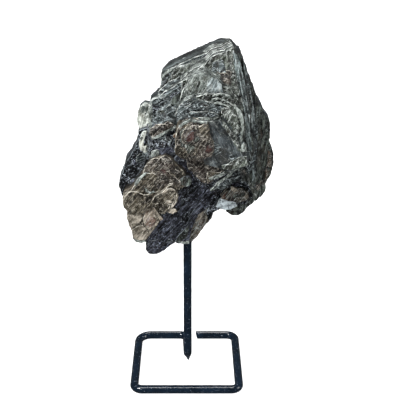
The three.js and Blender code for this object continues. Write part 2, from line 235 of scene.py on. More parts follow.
CORE_BOOKS = {
    "core_upper": Book("slate", -8, 12, (0, 0.1), 4, (0, -0.9), -0.8, [
        (-14.5, 192), (-8.5, 197.5), (3.5, 202.5), (19.5, 208.5), (26, 208), (31.5, 199),
        (36, 186), (40, 176.5), (41, 161), (40, 143.5), (35.5, 133.5), (16, 125), (-6.5, 131.5),
        (-21.5, 140.5), (-23, 155), (-21, 171), (-15.5, 178)]),
    "core_lower": Book("black", -6, 13, (0, -0.1), 4, (0, 0), -0.8, [
        (-21.5, 149), (7.5, 149), (37, 139.5), (41, 126), (35.5, 114), (23.5, 112),
        (15.5, 108.5), (13.5, 102), (8.5, 95), (2.5, 89), (-7, 87), (-14, 87), (-23, 90),
        (-32, 98.5), (-36, 112.5), (-31, 129.5)]),
}

TOP_BOOKS = {
    "top_back": Book("grey", 12, 20, (0, 0.15), 2.6, (-0.3, -0.6), -1, [
        (3, 200), (6, 202.5), (13, 205.5), (19.5, 208), (25, 208), (28, 205),
        (30.5, 200.5), (35, 191), (37, 178), (16.5, 177), (-1, 180)]),
    "top_middle": Book("slate", 3, 13, (0, 0.12), 2.4, (0, -0.5), -0.6, [
        (-15, 189.5), (-14, 192), (-8, 197), (-2, 200.5), (3, 202), (10.5, 202.5),
        (13.5, 204.5), (19, 206.5), (25, 209.5), (27.5, 207), (30.5, 201.5), (34, 193.5),
        (38, 182.5), (36.5, 176.5), (7.5, 171), (-12.5, 176.5)]),
    "upper_left": Book("slate", -8, 5, (-0.05, 0.22), 2.6, (0, -0.3), -0.4, [
        (-14.5, 193.5), (-10, 196.5), (-6, 199), (-2, 199), (3.5, 201), (10.5, 203),
        (14.5, 205.5), (23.5, 209), (27, 209), (30, 202), (24, 186), (7.5, 177.5),
        (-9.5, 178), (-15.5, 182)]),
}

FRONT_BOOKS = {
    "main_sheet": Book("grey", -19, -2, (0.05, 0.16), 2.4, (-0.3, 0.4), -0.1, [
        (-3, 192), (1.5, 196), (6.5, 199), (10.5, 202.5), (14.5, 206.5), (20.5, 208),
        (25.5, 210.5), (28, 207), (29.5, 200), (32, 192), (35.5, 174.5), (35.5, 167.5), (37, 160),
        (37.5, 153), (35.5, 146.5), (30.5, 142.5), (26, 142), (10, 142.5), (-1, 155), (-4, 177)],
        grain=(70, 6, 0.5)),
    "round_sheet": Book("pearl", -22, -10, (0.02, 0.1), 1.5, (0.3, 0.6), 0.1, [
        (0.5, 194.5), (4, 197.5), (9, 199), (14, 196), (17, 195), (19, 191.5), (19.5, 188.5),
        (18.5, 186), (11.5, 185), (5, 183.5), (-2, 184.5), (-2.5, 189), (0, 191)],
        grain=(60, 4, 0.4)),
    "curved_sheet": Book("grey", -25, -10, (0.08, 0.08), 1.3, (0.5, 0.9), 0, [
        (5, 186.5), (11.5, 188), (18.5, 187.5), (23, 185.5), (26, 182), (27.5, 179), (30, 176),
        (31, 170.5), (32, 166), (31, 157.5), (28.5, 155.5), (21, 161.5), (12.5, 170.5),
        (6, 174.5)], grain=(-60, 5, 0.4)),
    "middle_ledge": Book("slate", -27, -10, (0, 0.12), 1.5, (0.5, 0.8), -0.2, [
        (-5, 180), (-2, 184), (3.5, 186.5), (6.5, 185.5), (11, 184.5), (15, 182.5), (17.5, 179),
        (17, 177), (15, 175.5), (7, 174), (0.5, 174.5), (-3.5, 173), (-6.5, 175.5)],
        grain=(5, 3, 0.6)),
    "dark_sheet": Book("smooth", -29, -12, (0.06, 0.02), 1.5, (0.7, 0.5), 0, [
        (9.5, 172.5), (13, 173.5), (18.5, 174.5), (20.5, 173), (23, 169.5), (26.5, 164.5),
        (30, 159), (30, 156), (33, 153), (34, 149), (31.5, 146), (27.5, 144.5), (23, 143.5),
        (17.5, 146), (10, 148.5), (5, 157), (6, 168.5)], grain=(-55, 6, 0.12), flakes=0.3),
    "brown_sheet": Book("brown", -32, -14, (0, 0.05), 1.7, (0.2, 0.6), -0.2, [
        (-6.5, 163), (-5.5, 169), (-3.5, 172.5), (1.5, 175), (9.5, 174), (11.5, 172.5),
        (12.5, 167.5), (14.5, 162.5), (15, 157.5), (13.5, 154), (10, 152.5), (5, 150.5),
        (0, 152.5), (-3.5, 154), (-6, 158)], grain=(50, 4, 0.7)),
    "front_shelf": Book("brown", -26, -8, (0, -0.05), 2, (0.3, -0.5), 0.2, [
        (-0.5, 153), (7.5, 151), (16.5, 150), (26, 145), (26, 142.5), (22, 141.5), (17.5, 140),
        (15.5, 138.5), (13.5, 135), (9, 136), (4.5, 140), (0.5, 145)], grain=(20, 3, 0.9)),
    "shelf_flake": Book("black", -20, -6, (0, -0.1), 1.5, (0, -0.4), 0.2, [
        (10.5, 141.5), (26, 140), (25, 137), (22, 135.5), (18, 133.5), (15.5, 130.5),
        (13.5, 128.5), (10, 131.5), (6.5, 136.5)]),
}

LEFT_BOOKS = {
    "left_panel": Book("slate", -17, -4, (-0.1, 0.06), 2.2, (0.5, -0.7), 0, [
        (-20.5, 180.5), (-19, 182.5), (-15.5, 183.5), (-11.5, 187), (-7, 189.5), (-1.5, 193.5),
        (0.5, 187.5), (-1.5, 182), (-4, 175), (-4, 169.5), (-6.5, 166.5), (-12, 163.5),
        (-16, 161), (-20, 159), (-21.5, 166)], grain=(25, 3.5, 0.5)),
    "left_dark": Book("black", -17, 0, (-0.1, 0), 3, (-0.5, 0), 0.2, [
        (-21, 163), (-12.5, 165.5), (-5, 168), (-3, 159), (-4, 148), (-10.5, 147.5), (-16, 146),
        (-20.5, 145), (-21.5, 152)], grain=(0, 3, 0.9)),
    "pale_flake_upper": Book("silver", -3, 3, (-0.15, 0), 1.8, (0.3, -0.5), -0.5, [
        (-24.5, 176), (-26.5, 174), (-28.5, 169.5), (-29, 165), (-28, 160), (-27.5, 158),
        (-23.5, 159), (-18, 163), (-18, 172), (-21.5, 175.5)], grain=(80, 3, 0.7)),
    "pale_flake_lower": Book("silver", -7, 2, (-0.15, 0), 1.8, (0.3, 0), -0.4, [
        (-27, 156.5), (-28, 152), (-27.5, 148.5), (-25, 146.5), (-20, 149), (-19, 155.5),
        (-20, 161.5), (-25, 160.5), (-26.5, 159)], grain=(80, 3, 0.7)),
    "left_lobe": Book("black", -4, 12, (-0.25, -0.05), 2.6, (1, -0.8), -0.7, [
        (-28, 160), (-28.5, 154), (-30.5, 149.5), (-33, 144.5), (-36.5, 139), (-38.5, 133.5),
        (-40.5, 127.5), (-41, 124.5), (-40.5, 121.5), (-39.5, 117.5), (-36.5, 115), (-25, 123),
        (-18.5, 139.5), (-18.5, 155.5), (-22.5, 162.5)], grain=(60, 4, 0.9)),
}

LOWER_BOOKS = {
    "brown_slab": Book("olive", -21, -3, (-0.35, 0.1), 2.6, (0.3, 0.2), -1.4, [
        (-38, 122.5), (-37, 125), (-32.5, 127), (-30.5, 131), (-28, 134.5), (-25.5, 138.5),
        (-23.5, 143), (-20.5, 146.5), (-16.5, 149), (-12, 150.5), (-8.5, 149.5), (-6.5, 147),
        (-4, 145), (-1.5, 142.5), (0.5, 139.5), (2.5, 137.5), (1.5, 135), (-1.5, 133.5),
        (-4.5, 131.5), (-5.5, 129), (-5.5, 125.5), (-8, 120.5), (-11.5, 118), (-14.5, 115),
        (-17.5, 116.5), (-21.5, 117.5), (-25.5, 114.5), (-28, 113.5), (-31.5, 112.5),
        (-34.5, 112.5), (-36.5, 115), (-38, 118.5)], grain=(42, 4, 0.4), flakes=0.7),
    "brown_flap": Book("olive", -26, -12, (-0.05, 0), 1.5, (0.2, 0.5), -0.3, [
        (-20.5, 124.5), (-18.5, 127.5), (-14, 131), (-10, 134.5), (-8, 135), (-6, 132.5),
        (-5, 129), (-5.5, 126.5), (-8, 123), (-10.5, 119.5), (-13.5, 116), (-15, 117.5),
        (-17.5, 121), (-19.5, 121)], grain=(45, 3, 0.6)),
    "pale_slab": Book("tan", -17, 0, (-0.1, -0.08), 2.6, (0.4, 0.2), -1.2, [
        (-35.5, 112.5), (-31.5, 113.5), (-28.5, 114), (-25, 116), (-20.5, 118), (-18, 114),
        (-16, 108), (-18.5, 104), (-21, 100.5), (-23, 97), (-25, 94.5), (-27.5, 93.5), (-30, 94),
        (-32.5, 97), (-33.5, 102), (-35, 106.5),
        (-35.5, 109.5)], grain=(56, 3.5, 0.5), flakes=0.6),
    "foot_lobe": Book("foot", -15, 8, (0.12, -0.12), 3, (0.3, 0), -0.4, [
        (-24.5, 93), (-25, 90), (-25, 87), (-23.5, 84.5), (-20.5, 83.5), (-16, 85), (-12.5, 87.5),
        (-7, 91), (-1.5, 89.5), (1.5, 90.5), (2.5, 97.5), (4, 104), (7, 110.5), (10.5, 113.5),
        (13, 117), (15.5, 120.5), (17.5, 124), (15, 127), (12.5, 133), (9, 137.5), (5, 141),
        (1.5, 145), (-2, 148), (-6, 150), (-11, 143.5), (-15.5, 131), (-20.5, 116.5),
        (-23, 104.5)], grain=(42, 3.2, 1)),
    "foot_edge": Book("rust", -6, 6, (0.4, -0.05), 2.6, (-0.2, 0.2), -0.5, [
        (18.5, 109.5), (16.5, 108.5), (15, 103.5), (11, 99.5), (8.5, 96), (5, 91.5), (3, 89.5),
        (-2, 92), (0, 108.5), (9.5, 124), (15, 127), (19.5, 122.5), (22, 115)],
        grain=(60, 3, 0.6)),
}

RIGHT_BOOKS = {
    "right_flank": Book("flank", -10, 8, (0.55, 0.05), 3, (-0.7, -0.7), -0.6, [
        (26, 209), (29.5, 206.5), (33, 198), (37, 186.5), (41, 177), (41.5, 164), (43.5, 148.5),
        (44, 136.5), (39.5, 125), (32, 132), (28, 151), (26.5, 175), (25.5, 197.5)],
        grain=(100, 3, 0.5)),
    "right_lobe": Book("flank", -2, 12, (0.45, -0.05), 2.8, (-0.6, 0), -0.9, [
        (37, 181.5), (39.5, 180), (42, 175.5), (45, 169), (48, 164.5), (48.5, 160.5),
        (48.5, 152.5), (50.5, 145), (52, 138), (51, 132), (50, 129.5), (48, 125.5), (47, 119.5),
        (45, 116), (41.5, 113.5), (39, 116), (36, 119.5), (33, 131.5), (31, 148.5), (31, 167)],
        grain=(75, 3.5, 0.7)),
    "under_lobe": Book("flank", 0, 11, (0.1, -0.1), 2.6, (-0.2, 0.4), -0.4, [
        (24, 106.5), (25.5, 105), (28, 103), (31.5, 103.5), (35.5, 106.5), (37.5, 109.5),
        (41, 112.5), (41.5, 120), (35, 127), (23, 124), (21, 114)]),
    "fan_flake": Book("rust", -10, 0, (0.05, 0.1), 1.6, (0, 0.5), 0.3, [
        (20, 119.5), (23.5, 124), (27.5, 125.5), (32.5, 125.5), (36, 123), (37, 119.5),
        (34, 117.5), (31, 116.5), (25.5, 117)], grain=(10, 2.5, 0.3)),
    "feldspar": Book("feldspar", -9, 3, (0, 0), 1.8, (0.3, 0.2), -0.4, [
        (19, 118.5), (22, 120), (25.5, 118.5), (29, 117.5), (29.5, 114), (26.5, 111.5),
        (23, 111), (19.5, 112), (17, 113.5)], grain=(30, 2.2, 0.6), flakes=0),
}

BACK_BOOKS = {
    "back_body": Book("flank", 17, 4, (0, 0.05), 2.4, (0.2, 0.3), 0.9, [
        (-10, 188), (5, 196), (20, 199), (29, 192), (34, 178), (40, 160), (43, 140),
        (41, 127), (33, 118), (20, 112), (6, 99), (-8, 95), (-20, 102), (-29, 114),
        (-30, 138), (-20, 156), (-17, 175)], grain=(65, 5, 0.4)),
    "back_sheet_upper": Book("grey", 23, 12, (-0.05, 0.08), 1.6, (-0.9, -0.4), 0.4, [
        (0, 186), (14, 192), (25, 189), (31, 176), (29, 160), (16, 153), (3, 160),
        (-5, 173)], grain=(70, 6, 0.3)),
    "back_sheet_lower": Book("brown", 22, 10, (0.04, -0.06), 1.6, (0.8, -0.5), 0.4, [
        (-20, 144), (-4, 152), (12, 146), (22, 132), (14, 116), (-4, 107),
        (-18, 114), (-25, 130)], grain=(30, 5, 0.35)),
    "back_sheet_right": Book("slate", 20, 10, (-0.1, 0), 1.8, (-0.7, 0.5), 0.4, [
        (26, 157), (36, 153), (41, 140), (38, 127), (28, 121), (20, 132), (21, 149)]),
    "back_flake_upper": Book("pearl", 26, 14, (-0.05, 0.08), 1.2, (0.7, -0.7), 0.3, [
        (6, 179), (15, 184), (24, 177), (23, 166), (11, 163), (3, 169)]),
    "back_flake_lower": Book("olive", 25, 14, (0.04, -0.06), 1.2, (-0.8, 0.6), 0.3, [
        (-14, 139), (-4, 144), (6, 138), (9, 126), (-2, 118), (-14, 122), (-19, 131)]),
}

BOOKS = {**CORE_BOOKS, **TOP_BOOKS, **FRONT_BOOKS, **LEFT_BOOKS, **LOWER_BOOKS,
         **RIGHT_BOOKS, **BACK_BOOKS}
for number, (name, book) in enumerate(BOOKS.items()):
    book.name = name
    book.number = number


# ---- Stone: thin sheets left on the books' faces ----

class Ledge:
    """A thin sheet on a book's face: how far it stands proud, and how far its rim is torn."""

    def __init__(self, finish, on, proud, outline, torn=0.6):
        self.finish = finish
        self.book = BOOKS[on]
        self.proud = proud
        self.outline = outline
        self.torn = torn


LEDGES = {
    "upper_left_a": Ledge("slate", "upper_left", 0.6, [
        (-14, 192.5), (-11, 196.5), (-8.5, 197.5), (-9.5, 193.5), (-11.5, 190), (-14, 187.5)]),
    "upper_left_b": Ledge("grey", "upper_left", 0.9, [
        (-8.5, 194.5), (-6, 198), (-1.5, 198.5), (1.5, 199.5), (1, 196.5), (-2.5, 193.5),
        (-5.5, 190), (-8.5, 191)]),
    "upper_left_c": Ledge("flank", "upper_left", 0.6, [
        (0.5, 198.5), (5, 201), (10, 202.5), (11, 202), (8.5, 198.5), (5, 196.5), (1, 194.5),
        (-0.5, 196)]),
    "strip_upper": Ledge("slate", "upper_left", 2.5, [
        (-16, 185), (-13.5, 187), (-10, 190), (-6, 192), (-2, 194), (0, 194.5), (-1.5, 192.5),
        (-5.5, 190.5), (-9.5, 187.5), (-12.5, 185.5), (-15.5, 183.5)]),
    "strip_lower": Ledge("grey", "upper_left", 4.5, [
        (-16, 183.5), (-13, 185), (-10, 187.5), (-6, 190), (-2.5, 192), (0, 193), (-1.5, 190),
        (-5, 187.5), (-9, 185.5), (-12, 183.5), (-15.5, 182)]),
    "panel_top": Ledge("slate", "left_panel", 0.7, [
        (-19.5, 181), (-17.5, 182.5), (-13.5, 183), (-11, 184.5), (-10.5, 182), (-15, 179.5),
        (-19.5, 178.5)]),
    "panel_foot": Ledge("brown", "left_panel", 0.6, [
        (-20.5, 165), (-17.5, 167.5), (-13.5, 168), (-10.5, 169.5), (-8.5, 168.5), (-6, 166.5),
        (-10.5, 164.5), (-15, 162), (-19.5, 159.5), (-21, 162)]),
    "panel_dark": Ledge("flank", "left_panel", 1.0, [
        (-8.5, 182.5), (-6.5, 185), (-3.5, 187), (-2.5, 185), (-3, 181.5), (-5, 177.5),
        (-7, 179.5), (-9.5, 180.5)]),
    "panel_right": Ledge("slate", "left_panel", 1.4, [
        (-11.5, 177.5), (-9, 179.5), (-6, 177), (-4, 175.5), (-3.5, 171.5), (-5.5, 168.5),
        (-9, 170.5), (-11, 173.5)]),
    "panel_side": Ledge("pearl", "left_panel", 0.4, [
        (-21, 177.5), (-19.5, 179.5), (-19, 175), (-20, 169), (-19.5, 164.5), (-19, 160),
        (-20, 159.5), (-21, 162.5), (-21, 170)]),
    "rust_speck": Ledge("rust_spot", "left_panel", 1.6, [
        (-7.5, 162.5), (-6.5, 163), (-6, 162), (-6.5, 160.5), (-7.5, 160.5),
        (-8, 161.5)], torn=0.3),
    "dark_pale_spot": Ledge("pearl", "left_dark", 0.7, [
        (-20.5, 151), (-18.5, 152), (-16.5, 152.5), (-15.5, 151), (-16.5, 147.5), (-19, 146),
        (-20.5, 147)]),
    "dark_ripple_a": Ledge("black", "left_dark", 0.9, [
        (-20.5, 157.5), (-16.5, 158), (-12.5, 157.5), (-9.5, 156.5), (-12.5, 154), (-16.5, 153.5),
        (-20, 154.5)]),
    "dark_ripple_b": Ledge("foot", "left_dark", 0.8, [
        (-15.5, 152), (-12, 154.5), (-8.5, 154.5), (-7.5, 152), (-11, 149), (-14.5, 149)]),
    "main_lobe": Ledge("grey", "main_sheet", 1.2, [
        (0, 194), (2, 195), (4, 194), (6.5, 192), (8, 189.5), (6, 188), (3, 189.5), (1, 191),
        (0, 192.5)]),
    "main_left": Ledge("grey", "main_sheet", 0.8, [
        (-2, 187.5), (0, 188.5), (3.5, 189), (6.5, 188), (8, 185.5), (6, 183), (4, 183),
        (1, 183.5), (-1, 181), (-2.5, 184)]),
    "main_rim": Ledge("grey", "main_sheet", 0.7, [
        (0, 194.5), (3.5, 197), (6.5, 199.5), (9.5, 201), (12, 204.5), (15, 206.5), (19, 207.5),
        (24, 209), (24.5, 208.5), (19, 206.5), (15, 205), (12, 202.5), (10.5, 199), (7, 197.5),
        (3.5, 195), (0.5, 193.5)]),
    "main_brown": Ledge("brown", "main_sheet", 0.5, [
        (16.5, 197.5), (19, 197), (22.5, 196.5), (24.5, 193.5), (24, 190), (22.5, 186.5),
        (20.5, 186), (20.5, 190.5), (18.5, 194.5)]),
    "main_sliver_a": Ledge("stack", "main_sheet", 0.7, [
        (26.5, 207.5), (28.5, 205.5), (30, 198.5), (32.5, 189), (34.5, 180), (32.5, 180),
        (30.5, 187.5), (28, 196.5), (26, 204)]),
    "main_sliver_b": Ledge("stack", "main_sheet", 1.0, [
        (29, 193), (31, 192), (32.5, 184), (35, 174.5), (35, 166), (33, 166), (31.5, 174.5),
        (30, 183.5)]),
    "main_sliver_c": Ledge("stack", "main_sheet", 0.9, [
        (32, 172.5), (34.5, 170), (35.5, 163), (36.5, 156), (35.5, 148), (33.5, 147), (33.5, 156),
        (32.5, 164)]),
    "round_rim": Ledge("frost", "round_sheet", 0.8, [
        (11.5, 194.5), (14, 196), (17, 195), (19, 192), (19.5, 188), (17, 186.5), (13, 186.5),
        (11, 188), (10.5, 191.5)]),
    "arc_upper": Ledge("pearl", "curved_sheet", 0.9, [
        (14, 187), (17.5, 188), (20.5, 187.5), (23.5, 186.5), (25, 184), (23.5, 184.5),
        (20.5, 186.5), (17.5, 187), (14, 186)]),
    "arc_lower": Ledge("pearl", "curved_sheet", 1.1, [
        (13, 182.5), (17, 183.5), (21, 182), (24, 179.5), (21.5, 180.5), (17, 182), (13, 181.5)]),
    "arc_bowl": Ledge("grey", "curved_sheet", 0.9, [
        (19, 179.5), (22.5, 179.5), (25, 178.5), (27.5, 175), (28.5, 171), (29, 165.5),
        (27.5, 163.5), (24.5, 167.5), (21.5, 172.5), (19, 176.5)]),
    "arc_rim": Ledge("pearl", "curved_sheet", 1.4, [
        (25.5, 182.5), (27, 181), (29.5, 178), (31, 174), (31.5, 169.5), (31.5, 165),
        (30.5, 160.5), (29, 157.5), (28, 158), (29.5, 161.5), (30, 165.5), (30, 169.5),
        (29, 173.5), (27.5, 177), (26, 179.5)], torn=0.7),
    "ledge_upper": Ledge("slate", "middle_ledge", 0.7, [
        (-1.5, 180.5), (1, 182), (4.5, 184.5), (7, 184.5), (10.5, 183), (13, 181), (11, 179.5),
        (6, 179.5), (2, 179)]),
    "ledge_lower": Ledge("slate", "middle_ledge", 1.3, [
        (2, 178.5), (6, 178.5), (11, 179), (15, 178), (17.5, 176.5), (14, 175.5), (10, 176),
        (5.5, 177), (2, 177)]),
    "ledge_foot": Ledge("pearl", "middle_ledge", 0.8, [
        (6, 175), (10.5, 175.5), (15, 176), (18.5, 175.5), (15, 174), (10.5, 173.5), (7, 173.5)]),
    "dark_strip": Ledge("grey", "dark_sheet", 0.8, [
        (19, 175), (21.5, 172), (24, 168), (27.5, 164), (30, 158), (30.5, 155), (28, 157),
        (25.5, 161.5), (22.5, 166.5), (19.5, 171)]),
    "dark_foot": Ledge("grey", "dark_sheet", 0.7, [
        (19.5, 148), (23, 149), (26, 151), (29.5, 153), (33, 153), (33.5, 149), (31.5, 147),
        (27.5, 145.5), (23, 145.5), (20, 146)]),
    "pink_patch": Ledge("pearl", "dark_sheet", 0.6, [
        (30, 159.5), (31.5, 160.5), (33, 159), (33, 156), (31, 155.5), (30, 156.5)]),
    "brown_inner": Ledge("brown", "brown_sheet", 0.8, [
        (-3, 165.5), (-2, 169), (0, 171.5), (3, 172), (5.5, 171.5), (6, 169.5), (5, 165.5),
        (3.5, 162.5), (0, 161), (-2.5, 162.5)]),
    "brown_red": Ledge("red_brown", "brown_sheet", 1.1, [
        (-0.5, 164.5), (1, 167.5), (3, 169), (4, 168), (4, 165), (2.5, 163), (0, 162.5)]),
    "brown_corner": Ledge("olive", "brown_sheet", 1.0, [
        (6.5, 171), (9, 172.5), (11.5, 172), (12.5, 169), (12.5, 166.5), (10, 165), (7.5, 167)]),
    "brown_lower": Ledge("brown", "brown_sheet", 1.2, [
        (6.5, 160), (9, 163.5), (11.5, 165.5), (13.5, 163), (15, 160), (14.5, 157.5), (12, 155),
        (9.5, 154), (6.5, 154.5), (5.5, 157.5)]),
    "brown_red_low": Ledge("red_brown", "brown_sheet", 1.5, [
        (10, 159.5), (11.5, 161.5), (13.5, 160), (14, 158), (12, 156), (10, 157)]),
    "beige_lump": Ledge("olive", "brown_sheet", 0.8, [
        (-6.5, 159.5), (-5, 161), (-2, 159.5), (0, 157.5), (0.5, 154.5), (-1, 152.5), (-3, 153.5),
        (-5.5, 155), (-6.5, 157)]),
    "shelf_left": Ledge("brown", "front_shelf", 0.9, [
        (1.5, 151.5), (5.5, 150.5), (9, 150.5), (11, 148.5), (9.5, 145.5), (5.5, 146),
        (2.5, 148)]),
    "shelf_middle": Ledge("brown", "front_shelf", 1.2, [
        (10, 150.5), (14, 151.5), (18, 150), (21, 146.5), (18, 143.5), (14, 143), (10.5, 145)]),
    "shelf_foot": Ledge("olive", "front_shelf", 0.7, [
        (11.5, 143), (14.5, 142.5), (18, 142.5), (21.5, 143.5), (21, 141.5), (17, 140),
        (14.5, 138), (12.5, 135.5), (11, 138.5)]),
    "foot_strip_a": Ledge("foot", "foot_lobe", 0.7, [
        (5, 127.5), (11, 132.5), (13, 131), (7, 124), (0.5, 117), (-4, 112), (-5.5, 113.5),
        (0, 120.5)]),
    "foot_strip_b": Ledge("foot", "foot_lobe", 0.9, [
        (12, 127.5), (15, 127), (11, 119.5), (6, 111.5), (1.5, 106), (-0.5, 104), (2.5, 111.5),
        (7, 119)]),
    "foot_strip_c": Ledge("foot", "foot_lobe", 0.8, [
        (-7, 111.5), (-3, 114.5), (-0.5, 113), (-6.5, 105), (-12.5, 99.5), (-17.5, 95.5),
        (-18.5, 97.5), (-13, 104)]),
    "foot_strip_d": Ledge("flank", "foot_lobe", 0.9, [
        (-2.5, 100), (1, 104), (1.5, 101.5), (-0.5, 95), (-4.5, 92), (-7.5, 92), (-5.5, 96)]),
    "foot_strip_e": Ledge("foot", "foot_lobe", 0.7, [
        (-22, 94), (-17.5, 94.5), (-12.5, 92), (-9.5, 92.5), (-12.5, 89.5), (-17.5, 87.5),
        (-21.5, 88), (-23.5, 91)]),
    "foot_rim": Ledge("pearl", "foot_lobe", 1.1, [
        (-6, 92.5), (-2.5, 92), (1, 92.5), (1.5, 91), (-1.5, 90.5), (-5.5, 91.5)]),
    "black_band": Ledge("foot", "foot_lobe", 1.2, [
        (-5, 147.5), (-1.5, 147), (1.5, 144), (0.5, 141), (-3, 142), (-5, 144.5)]),
    "black_band_low": Ledge("black", "foot_lobe", 1.4, [
        (3, 140), (6.5, 139), (10, 135.5), (11.5, 131.5), (8, 131.5), (4.5, 134.5)]),
    "flank_sliver": Ledge("stack", "right_flank", 0.8, [
        (31.5, 185), (33.5, 182), (35.5, 174), (37, 164.5), (36, 156), (35, 163.5), (33.5, 173)]),
    "flank_line": Ledge("grey", "right_flank", 0.8, [
        (34, 137.5), (36, 134.5), (38, 129), (41, 121.5), (41.5, 118.5), (39.5, 120.5), (37, 127),
        (35, 132)]),
    "lobe_brown": Ledge("lobe", "right_lobe", 0.6, [
        (47.5, 146.5), (50, 144.5), (51, 137.5), (49.5, 131.5), (47.5, 126.5), (45.5, 122),
        (45, 125), (46.5, 132.5), (47.5, 139)]),
    "lobe_upper": Ledge("flank", "right_lobe", 0.8, [
        (43, 167.5), (46, 165), (47.5, 159), (47, 152.5), (44.5, 154.5), (43.5, 161.5)]),
    "fan_streak": Ledge("tan", "fan_flake", 0.7, [
        (26, 127), (28, 126.5), (30.5, 124), (28.5, 123), (26, 125)]),
    "edge_streak": Ledge("tan", "foot_edge", 0.8, [
        (5.5, 109.5), (8.5, 110.5), (10, 109), (8, 105), (5.5, 103.5), (4, 106)]),
    "edge_rust": Ledge("rust", "foot_edge", 0.8, [
        (3, 99.5), (6, 100.5), (8, 98.5), (6, 94.5), (3.5, 92.5), (1.5, 95.5)]),
    "top_strip_back": Ledge("grey", "top_back", 0.7, [
        (5, 201.5), (9, 203), (14.5, 205.5), (19.5, 207.5), (24, 208), (25.5, 207.5), (20, 206),
        (15, 203.5), (11, 202), (6.5, 201)]),
    "top_strip_middle": Ledge("slate", "top_middle", 0.8, [
        (-13.5, 193), (-9.5, 196), (-5, 198.5), (-0.5, 200), (3.5, 201), (7.5, 201.5), (11, 202),
        (11, 201.5), (6.5, 200), (1.5, 199), (-3, 198.5), (-7.5, 196.5), (-12, 193.5)]),
    "top_strip_right": Ledge("pearl", "top_middle", 0.8, [
        (11.5, 204), (14.5, 205.5), (19, 207), (24.5, 209.5), (26, 208.5), (21, 206), (16, 204),
        (12, 202.5)]),
    "top_strip_front": Ledge("pearl", "upper_left", 0.7, [
        (-14, 193.5), (-10, 196.5), (-6, 198.5), (-1.5, 198.5), (3.5, 201), (10.5, 203),
        (11, 202), (4, 199.5), (-1, 197.5), (-5.5, 197.5), (-9.5, 195.5), (-13.5, 192)]),
    "brown_lip": Ledge("pearl", "brown_sheet", 0.9, [
        (-4.5, 171.5), (-2, 174), (2, 175.5), (6, 174.5), (11, 174), (11, 173), (6, 173.5),
        (2, 174), (-1.5, 172.5), (-4, 170.5)]),
    "arc_middle": Ledge("pearl", "curved_sheet", 0.9, [
        (13.5, 185), (17, 185.5), (20.5, 184.5), (24, 182.5), (26.5, 180.5), (24, 181.5),
        (21, 183.5), (17, 184.5), (13.5, 184)]),
    "main_sliver_d": Ledge("stack", "main_sheet", 1.4, [
        (25, 209.5), (26, 208), (27.5, 203), (29, 196), (31, 188), (32, 179), (31, 179),
        (29, 187), (27, 195.5), (25.5, 203)]),
    "slab_left": Ledge("olive", "brown_slab", 1.2, [
        (-37.5, 121), (-36, 124), (-32.5, 127), (-29, 127), (-25.5, 126), (-24, 123), (-26, 118),
        (-28, 114.5), (-31.5, 113.5), (-34.5, 113.5), (-36.5, 116.5)], torn=0.5),
    "slab_ridge": Ledge("olive", "brown_slab", 0.7, [
        (-30.5, 131), (-27.5, 135.5), (-24.5, 138.5), (-19.5, 139.5), (-16.5, 138), (-18, 134.5),
        (-19.5, 129), (-21.5, 128), (-23.5, 130.5), (-26.5, 128.5)], torn=0.8),
    "slab_top": Ledge("brown", "brown_slab", 1.1, [
        (-25, 139.5), (-23.5, 143.5), (-20.5, 147), (-16, 149), (-12, 151), (-8.5, 149),
        (-7, 144.5), (-4, 142), (-5.5, 140), (-10.5, 142), (-14, 143), (-18.5, 141)], torn=0.9),
    "slab_centre": Ledge("brown", "brown_slab", 0.5, [
        (-18.5, 140), (-14, 142), (-10.5, 141), (-6.5, 138.5), (-3, 136), (-4, 133), (-9, 134.5),
        (-13, 132.5), (-16.5, 130.5), (-18.5, 133.5)], torn=0.8),
    "slab_steps": Ledge("olive", "brown_slab", 0.6, [
        (-25.5, 125.5), (-19.5, 128), (-14.5, 129.5), (-18, 123.5), (-20, 119.5), (-24.5, 116),
        (-27, 116.5), (-24, 122)], torn=0.6),
    "slab_knob": Ledge("flank", "brown_slab", 1.0, [
        (-4, 138), (-1.5, 140), (1, 140), (3, 138), (2, 135.5), (-0.5, 134),
        (-3, 135)], torn=0.3),
    "slab_red": Ledge("red_brown", "brown_slab", 0.9, [
        (-15.5, 143), (-13.5, 143.5), (-12, 142.5), (-12, 140.5), (-14, 140),
        (-15.5, 141)], torn=0.3),
    "slab_line_a": Ledge("pearl", "brown_slab", 1.2, [
        (-30.5, 131), (-29, 134), (-27.5, 136), (-24.5, 139), (-22, 139.5), (-24, 138),
        (-26.5, 135), (-28, 133), (-29.5, 130.5)], torn=0.6),
    "slab_line_b": Ledge("pearl", "brown_slab", 0.9, [
        (-24, 130.5), (-22.5, 128.5), (-21, 128), (-19, 129), (-18.5, 128.5), (-21, 127),
        (-23.5, 128), (-24.5, 130)], torn=0.5),
    "flap_rim": Ledge("tan", "brown_flap", 1.0, [
        (-14.5, 130), (-13, 131.5), (-12, 132.5), (-9, 133), (-6.5, 132), (-6, 131), (-8, 131.5),
        (-10.5, 131.5), (-12, 130.5), (-13.5, 129)], torn=0.3),
    "flap_fold_a": Ledge("tan", "brown_flap", 0.7, [
        (-6, 130.5), (-5, 129.5), (-5, 127), (-6, 124), (-8.5, 120.5), (-9, 121), (-6.5, 124.5),
        (-6, 127.5), (-6, 129.5)], torn=0.4),
    "flap_fold_b": Ledge("tan", "brown_flap", 0.2, [
        (-7, 128.5), (-6, 128), (-6.5, 125.5), (-8, 122.5), (-10.5, 119.5), (-11, 120), (-9, 123),
        (-7.5, 125.5)], torn=0.2),
    "flap_fold_c": Ledge("tan", "brown_slab", 1.4, [
        (-20, 119), (-19, 119.5), (-17.5, 117.5), (-15.5, 115), (-14, 113), (-15.5, 111.5),
        (-16.5, 113.5), (-18.5, 115.5)], torn=0.3),
    "flap_chip": Ledge("tan", "brown_slab", 1.0, [
        (-11.5, 117.5), (-9.5, 120), (-6.5, 120), (-5.5, 118.5), (-8, 117),
        (-10.5, 117)], torn=0.4),
    "pale_right": Ledge("tan", "pale_slab", 1.0, [
